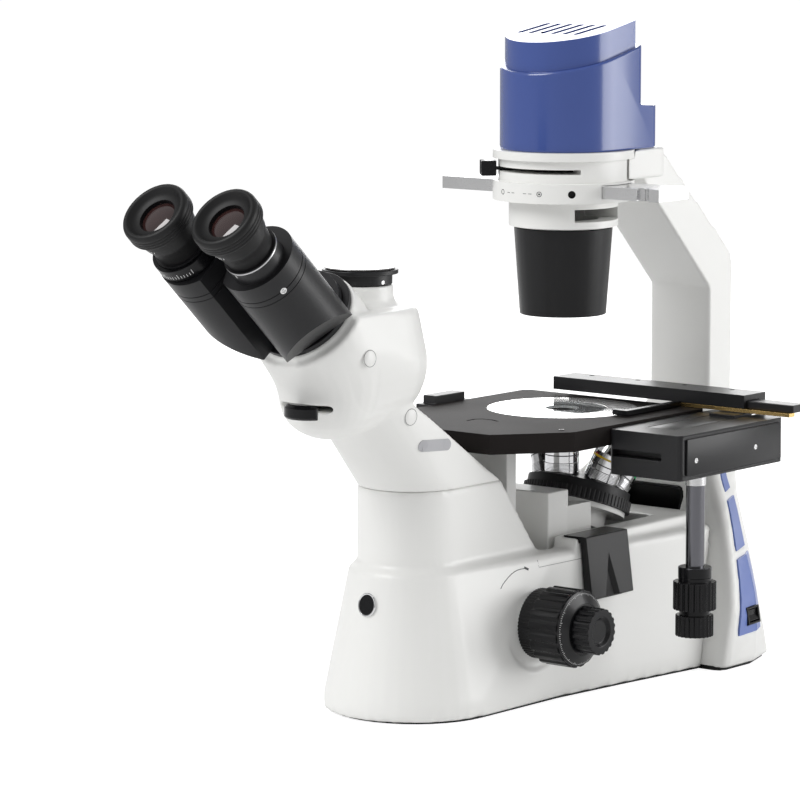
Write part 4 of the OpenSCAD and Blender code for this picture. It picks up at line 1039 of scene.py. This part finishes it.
@dataclass
class Stage:
    """Stage plate with insert and the mechanical stage on it."""

    # Axis and radius of the drive tube, with the sleeve below and the collar above
    tube: Point = (128.0, -14.0)
    tube_radius: float = 6.72
    sleeve_radius: float = 11.95
    sleeve_ends: Point = (85.2, 92.5)
    collar_ends: Point = (150.5, 158.6)
    # Channel of the carriage: middle in X, front and rear end in Y, and top
    channel: tuple[float, float, float, float] = (109.0, -30.0, 44.8, 191.0)
    channel_width: float = 21.4
    channel_thick: float = 1.6
    channel_sunk: float = 0.9
    # Share of its length that a folded cover would keep
    channel_keep: float = 0.06
    cover_thick: float = 1.3
    # Width and rise of the black bars that paint the shade of the groove round the drive cover
    groove_width: float = 0.5
    groove_rise: float = 0.16
    # Places in the image
    cover_outline: Path = (
        (683.4, 440.5), (685, 438), (778, 421), (781, 423.5), (781.3, 457), (779, 459.5), (741, 468.2),
        (738, 469.5), (726, 472), (722, 473), (705, 477.5), (701, 478.5), (686, 477.4), (683.8, 475))
    cover_screws: Path = ((696.8, 461), (756, 447))
    deck_screw: Point = (561.6, 430)
    deck_slot: Path = ((466.2, 420.6), (473.8, 419), (482.5, 418.7), (492.5, 419.6), (498.8, 421.2))
    deck_slot_width: float = 1.6

    def build(self) -> None:
        """Builds plate, insert and slides."""
        soften("stage_plate", DECK, "stand", 0.7)
        soften("stage_insert", FROST, "stand", 0.3)
        soften("insert_glass", GLASS, "stand", 0.1)
        soften("stage_bracket", SATIN, "stand", 0.6)
        soften("drive_housing", SATIN, "stand", 0.8)
        self.build_cover()
        soften("drive_tube", ROD, "stand", 0.2)
        soften("y_carriage", SATIN, "y_stage", 0.5)
        soften("cross_beam", SATIN, "y_stage", 0.6)
        soften("x_slider", SATIN, "x_stage", 0.6)
        soften("brass_rack", BRASS, "x_stage", 0.1)
        soften("clamp_arm", KNOB, "x_stage", 0.4)
        soften("y_knob", KNOB, "y_drive", 0.3)
        soften("x_knob", KNOB, "x_drive", 0.3)
        screw("deck_screw", seat("stage_plate", *self.deck_screw), 2.2, "stand", KNOB, 0.35)
        ribbon("deck_slot", "stage_plate", self.deck_slot, self.deck_slot_width, SLOT, "stand")
        self.build_rod()
        self.build_channel()

    def build_rod(self) -> None:
        """Black sleeve and bright top collar of the drive tube."""
        where = Matrix.Translation((*self.tube, 0))
        r = self.tube_radius
        wide = self.sleeve_radius
        low, high = self.sleeve_ends
        sleeve = [(r, low), (wide, low), (wide, high - 0.6), (wide - 0.65, high), (r, high), (r, low)]
        fitted(spun(sleeve), where, "drive_tube_sleeve", KNOB, "stand")
        low, high = self.collar_ends
        collar = [(r, low), (r + 0.5, low + 0.3), (r + 0.5, high - 0.6), (r, high), (r, low)]
        fitted(spun(collar), where, "drive_tube_collar", STEEL, "stand")

    def build_channel(self) -> None:
        """Cover over the channel of the carriage, one flat plate over the channel's full length."""
        x, front, rear, top = self.channel
        size = (self.channel_width, rear - front, self.channel_thick)
        cover = block(size, (x, (front + rear) / 2, top - self.channel_sunk), 0.1)
        piece = as_piece(cover, "channel_cover", SATIN, "stand")
        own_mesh(piece)

    def on_face(self, point: Point, x: float) -> Matrix:
        """Frame on a plane of constant X, in mm, where a point of the image meets it.

        Args:
            point: column and row of the image point.
            x: place of the plane in mm.

        Returns:
            The frame, with Z along +X.
        """
        start = Vector(VIEW.place)
        way = VIEW.ray(*point)
        return axes(tuple((start + way * ((x * MM - start.x) / way.x)) / MM), (1, 0, 0), (0, 1, 0))

    def build_cover(self) -> None:
        """Outer cover plate of the stage drive, with painted shade of the groove round it as thin black bars,
        and its two screws.
        """
        low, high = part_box("drive_cover")
        size = (high - low) / MM
        middle = (high + low) / 2 / MM
        plate = block((self.cover_thick, size.y, size.z), tuple(middle), 0.35)
        piece = as_piece(plate, "drive_cover_plate", SATIN, "stand")
        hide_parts("drive_cover")
        face = middle.x + self.cover_thick / 2
        corners = [self.on_face(point, face).to_translation() for point in self.cover_outline]
        # The groove is not cut: its shade is painted as thin black bars on the plate
        lines = []
        for start, end in zip(corners, corners[1:] + corners[:1]):
            along = end - start
            bar = block((along.length + self.groove_width, self.groove_width, self.groove_rise), rounding=0)
            lines.append(placed(bar, axes(tuple((start + end) / 2), (1, 0, 0), tuple(along))))
        as_piece(joined(lines), "drive_cover_groove", BLACK_INK_AND_SHADE, "stand")
        for number, point in enumerate(self.cover_screws):
            screw(f"drive_cover_screw_{number}", self.on_face(point, face), 2.0, "stand", STEEL, 0.35)


@dataclass
class Condenser:
    """Condenser, slider ring and lamp house."""

    ring_radius: float = 51.0
    mark_height: float = 352.0
    open_angle: float = -111.0
    closed_angle: float = -73.0
    arrow_angles: tuple[int, ...] = (-103, -98, -86, -81)
    hole_angle: float = -46.6
    hole_profile: Profile = field(default_factory=lambda: [
        (0, -3), (2.45, -3), (2.45, -0.3), (2.7, 0.05), (2.3, 0.05), (2.2, -0.4), (2.2, -2.6), (0, -2.6)])
    cap_screw_point: Point = (540.8, 34)

    def build(self) -> None:
        """Builds cone, collar, ring and lamp house."""
        soften("condenser_cone", MOULDED, "stand", 0.6)
        soften("condenser_lens", LENS, "stand", 0.1)
        soften("condenser_collar", COAT, "stand", 0.6)
        soften("condenser_ring", COAT, "stand", 0.7)
        soften("phase_slider", STEEL, "phase", 0.3)
        soften("iris_lever", KNOB, "iris", 0.6)
        soften("lamp_house", BLUE, "stand", 1.4, 3)
        soften("lamp_cap", BLUE, "stand", 0.9, 3)
        soften("lamp_module", TURNED, "stand", 0.3)
        screw("lamp_cap_screw", seat("lamp_cap", *self.cap_screw_point), 1.3, "stand", KNOB, 0.1)
        self.build_marks()

    def on_ring(self, angle: float) -> Matrix:
        """Frame on the wall of the slider ring at an angle in degrees, Z out of the wall."""
        turn = math.radians(angle)
        out = (math.cos(turn), math.sin(turn), 0)
        return axes((self.ring_radius * out[0], self.ring_radius * out[1], self.mark_height), out, (0, 0, 1))

    def build_marks(self) -> None:
        """Generic open and closed signs of the iris with an arrow between them, and the screw hole."""
        ring = ring_profile(1.5, 1.9, -0.1, 0.1)
        fitted(spun(ring, 32), self.on_ring(self.open_angle), "iris_open_mark", BLACK_INK_AND_SHADE, "stand")
        closed = joined([spun(ring, 32), spun(rounded_profile(0.7, -0.1, 0.1, 0.02), 24)])
        fitted(closed, self.on_ring(self.closed_angle), "iris_closed_mark", BLACK_INK_AND_SHADE, "stand")
        for angle in self.arrow_angles:
            fitted(block((0.35, 2.6, 0.2), rounding=0), self.on_ring(angle), f"iris_arrow_{-angle}",
                   BLACK_INK_AND_SHADE, "stand")
        fitted(spun(self.hole_profile, 40), self.on_ring(self.hole_angle), "clamp_screw_hole", KNOB, "stand")


@dataclass
class Nosepiece:
    """Revolving nosepiece with objectives on its focus slide."""

    seat_height: float = 146.0
    seat_radius: float = 24.0
    seats: int = 5
    tilt: float = 20.0
    barrel_radius: float = 12.3
    barrel_share: float = 0.62
    front_radius: float = 3.6
    grip_low: float = 1.4
    grip_high: float = 7.8
    grip_ribs: int = 6
    # Letter, seat, length and ring of each objective
    objectives: tuple[tuple[str, int, float, Finish], ...] = (
        ("a", 0, 36, RED_RING), ("b", 1, 34, YELLOW_RING), ("c", 2, 30, GREEN_RING), ("d", 4, 38, CYAN_RING))

    def build(self) -> None:
        """Builds slide, turret and objectives."""
        soften("focus_carriage", COAT, "nose_lift", 0.8)
        soften("nosepiece_arm", COAT, "nose_lift", 0.6)
        soften("guide_rail", STEEL, "stand", 0.2)
        soften("nosepiece_turret", SATIN, "turret", 0.3)
        soften("turret_plug", KNOB, "turret", 0.2)
        for letter, index, length, ring in self.objectives:
            self.build_objective(f"objective_{letter}", self.seat_frame(index), length, ring)

    def build_objective(self, node: str, where: Matrix, length: float, ring: Finish) -> None:
        """One objective with its ribbed grip, coloured ring, line and front lens.

        Args:
            node: its CAD node.
            where: frame of its seat in mm.
            length: its length in mm.
            ring: finish of its coloured ring.
        """
        soften(node, CHROME, "turret", 0.2)
        r = self.barrel_radius
        low = length * self.barrel_share
        grip = [(r + 0.02, self.grip_low)]
        for step in range(self.grip_ribs):
            grip += [(r + 0.45, 1.7 + step), (r + 0.45, 2.3 + step), (r + 0.1, 2.5 + step)]
        fitted(spun(grip + [(r + 0.02, self.grip_high)]), where, f"{node}_grip", CHROME, "turret")
        fitted(spun(self.band(low - 4.6, low - 3.0, 0.12)), where, f"{node}_ring", ring, "turret")
        fitted(spun(self.band(low - 9.6, low - 8.8, 0.1)), where, f"{node}_line", BLACK_INK_AND_SHADE, "turret")
        front = length + 0.02
        fitted(spun([(0, front), (self.front_radius, front)], 48), where, f"{node}_front", LENS, "turret")

    def band(self, low: float, high: float, rise: float) -> Profile:
        """Profile of a thin band round the barrel of an objective."""
        r = self.barrel_radius
        return [(r, low), (r + rise, low + 0.1), (r + rise, high - 0.1), (r, high)]

    def seat_frame(self, index: int) -> Matrix:
        """Frame of one objective seat, Z along the objective, in mm."""
        turret = (Matrix.Translation((0, 0, self.seat_height))
                  @ Matrix.Rotation(math.radians(-self.tilt), 4, "X")
                  @ Matrix.Translation((0, self.seat_radius, 0)))
        return (turret @ Matrix.Rotation(math.radians(index * 360 / self.seats), 4, "Z")
                @ Matrix.Translation((0, -self.seat_radius, 0))
                @ Matrix.Rotation(math.radians(self.tilt), 4, "X"))


@dataclass
class FocusDrive:
    """Coaxial focus knobs and the tension ring."""

    dial_at: Triple = (97.0, -109.0, 58.0)
    dial_profile: Profile = field(default_factory=lambda: [
        (22.0, 0.1), (26.2, 0.1), (26.2, 0.9), (25.4, 1.3), (18.6, 4.9), (18.2, 4.9), (18.0, 0.1)])
    dial_marks: int = 100
    dial_slope: float = 62.0

    def build(self) -> None:
        """Builds knobs and shaft."""
        soften("coarse_knobs", KNOB, "coarse", 0.4)
        soften("fine_knobs", KNOB, "fine", 0.35)
        soften("tension_ring", KNOB, "tension", 0.25)
        soften("focus_shaft", STEEL, "coarse", 0.2)
        self.build_dial()

    def build_dial(self) -> None:
        """Conical dial between the right coarse and fine knobs, with its divisions."""
        where = axes(self.dial_at, (1, 0, 0), (0, 1, 0))
        fitted(spun(self.dial_profile, 128), where, "focus_dial", DIAL, "coarse", sharp=25)
        marks = ticks(self.dial_marks, 24.4, 1.0, 2.6, 0.3, self.dial_slope, every=5)
        fitted(marks, where, "focus_dial_marks", WHITE_MARK, "coarse")


@dataclass
class Studio:
    """White floor, soft lamps and a white surround for the camera."""

    floor_size: float = 80.0
    floor_glow: float = 0.79
    floor_shade: Color = (0.55, 0.55, 0.55)
    paper_dark: Color = (0.86, 0.86, 0.86)
    paper_light: Color = (0.9, 0.9, 0.9)
    world_strength: float = 0.42
    aim: Triple = (0, -0.1, 0.2)
    # Name, place in metres, side in metres and watts of each lamp
    lamps: tuple[tuple[str, Triple, float, float], ...] = (
        ("key_lamp", (-0.7, -2.1, 2.2), 1.6, 52),
        ("side_lamp", (2.0, 1.5, 0.7), 1.6, 35),
        ("back_lamp", (-1.5, 1.7, 1.2), 1.7, 30))

    def build(self) -> None:
        """Builds floor, world and lamps."""
        self.build_floor()
        self.build_world()
        for name, at, size, power in self.lamps:
            self.add_lamp(name, at, size, power)

    def build_floor(self) -> None:
        """The floor: white for the camera, with the object's shadow."""
        bm = bmesh.new()
        bmesh.ops.create_grid(bm, x_segments=2, y_segments=2, size=self.floor_size / 2)
        mesh = bpy.data.meshes.new("floor")
        bm.to_mesh(mesh)
        bm.free()
        floor = bpy.data.objects.new("floor", mesh)
        bpy.context.scene.collection.objects.link(floor)
        tree = Shader("floor_white")
        slow = tree.noise(3, tree.place(), 2.0)
        tone = tree.blend(slow, self.paper_dark, self.paper_light)
        paper = tree.node("ShaderNodeBsdfDiffuse", None, {"Color": tone}, out="BSDF")
        faint = tree.node("ShaderNodeBsdfDiffuse", None, {"Color": self.floor_shade}, out="BSDF")
        glow = tree.node("ShaderNodeEmission", None, {"Color": (1.0, 1.0, 1.0), "Strength": self.floor_glow},
                         out="Emission")
        path = tree.node("ShaderNodeLightPath", out="Is Camera Ray")
        both = tree.node("ShaderNodeAddShader", None, {0: faint, 1: glow})
        mixed = tree.node("ShaderNodeMixShader", None, {0: path, 1: paper, 2: both})
        mesh.materials.append(tree.finish(mixed))

    def build_world(self) -> None:
        """White for the camera, plain light for the rest."""
        world = bpy.data.worlds.new("studio")
        world.use_nodes = True
        bpy.context.scene.world = world
        tree = world.node_tree
        tree.nodes.clear()
        path = tree.nodes.new("ShaderNodeLightPath")
        mix = tree.nodes.new("ShaderNodeMixShader")
        end = tree.nodes.new("ShaderNodeOutputWorld")
        tree.links.new(path.outputs["Is Camera Ray"], mix.inputs[0])
        for place, strength in ((1, self.world_strength), (2, 1.0)):
            light = tree.nodes.new("ShaderNodeBackground")
            light.inputs["Color"].default_value = (1, 1, 1, 1)
            light.inputs["Strength"].default_value = strength
            tree.links.new(light.outputs[0], mix.inputs[place])
        tree.links.new(mix.outputs[0], end.inputs["Surface"])

    def add_lamp(self, name: str, at: Triple, size: float, power: float) -> None:
        """A soft square lamp that faces the microscope.

        Args:
            name: the lamp's name.
            at: its place in metres.
            size: its side in metres.
            power: its power in watts.
        """
        data = bpy.data.lights.new(name, "AREA")
        data.size = size
        data.energy = power
        lamp = bpy.data.objects.new(name, data)
        lamp.location = at
        lamp.rotation_euler = (Vector(self.aim) - Vector(at)).to_track_quat("-Z", "Y").to_euler()
        bpy.context.scene.collection.objects.link(lamp)


def main() -> None:
    """Builds the scene."""
    logging.basicConfig(level=logging.INFO)
    bpy.context.scene.view_settings.view_transform = "Standard"
    VIEW.build()
    for unit in (Stand(), Head(), Tubes(), Stage(), Condenser(), Nosepiece(), FocusDrive(), Studio()):
        unit.build()
        LOG.info("%s built", type(unit).__name__)


if __name__ == "__main__":
    main()
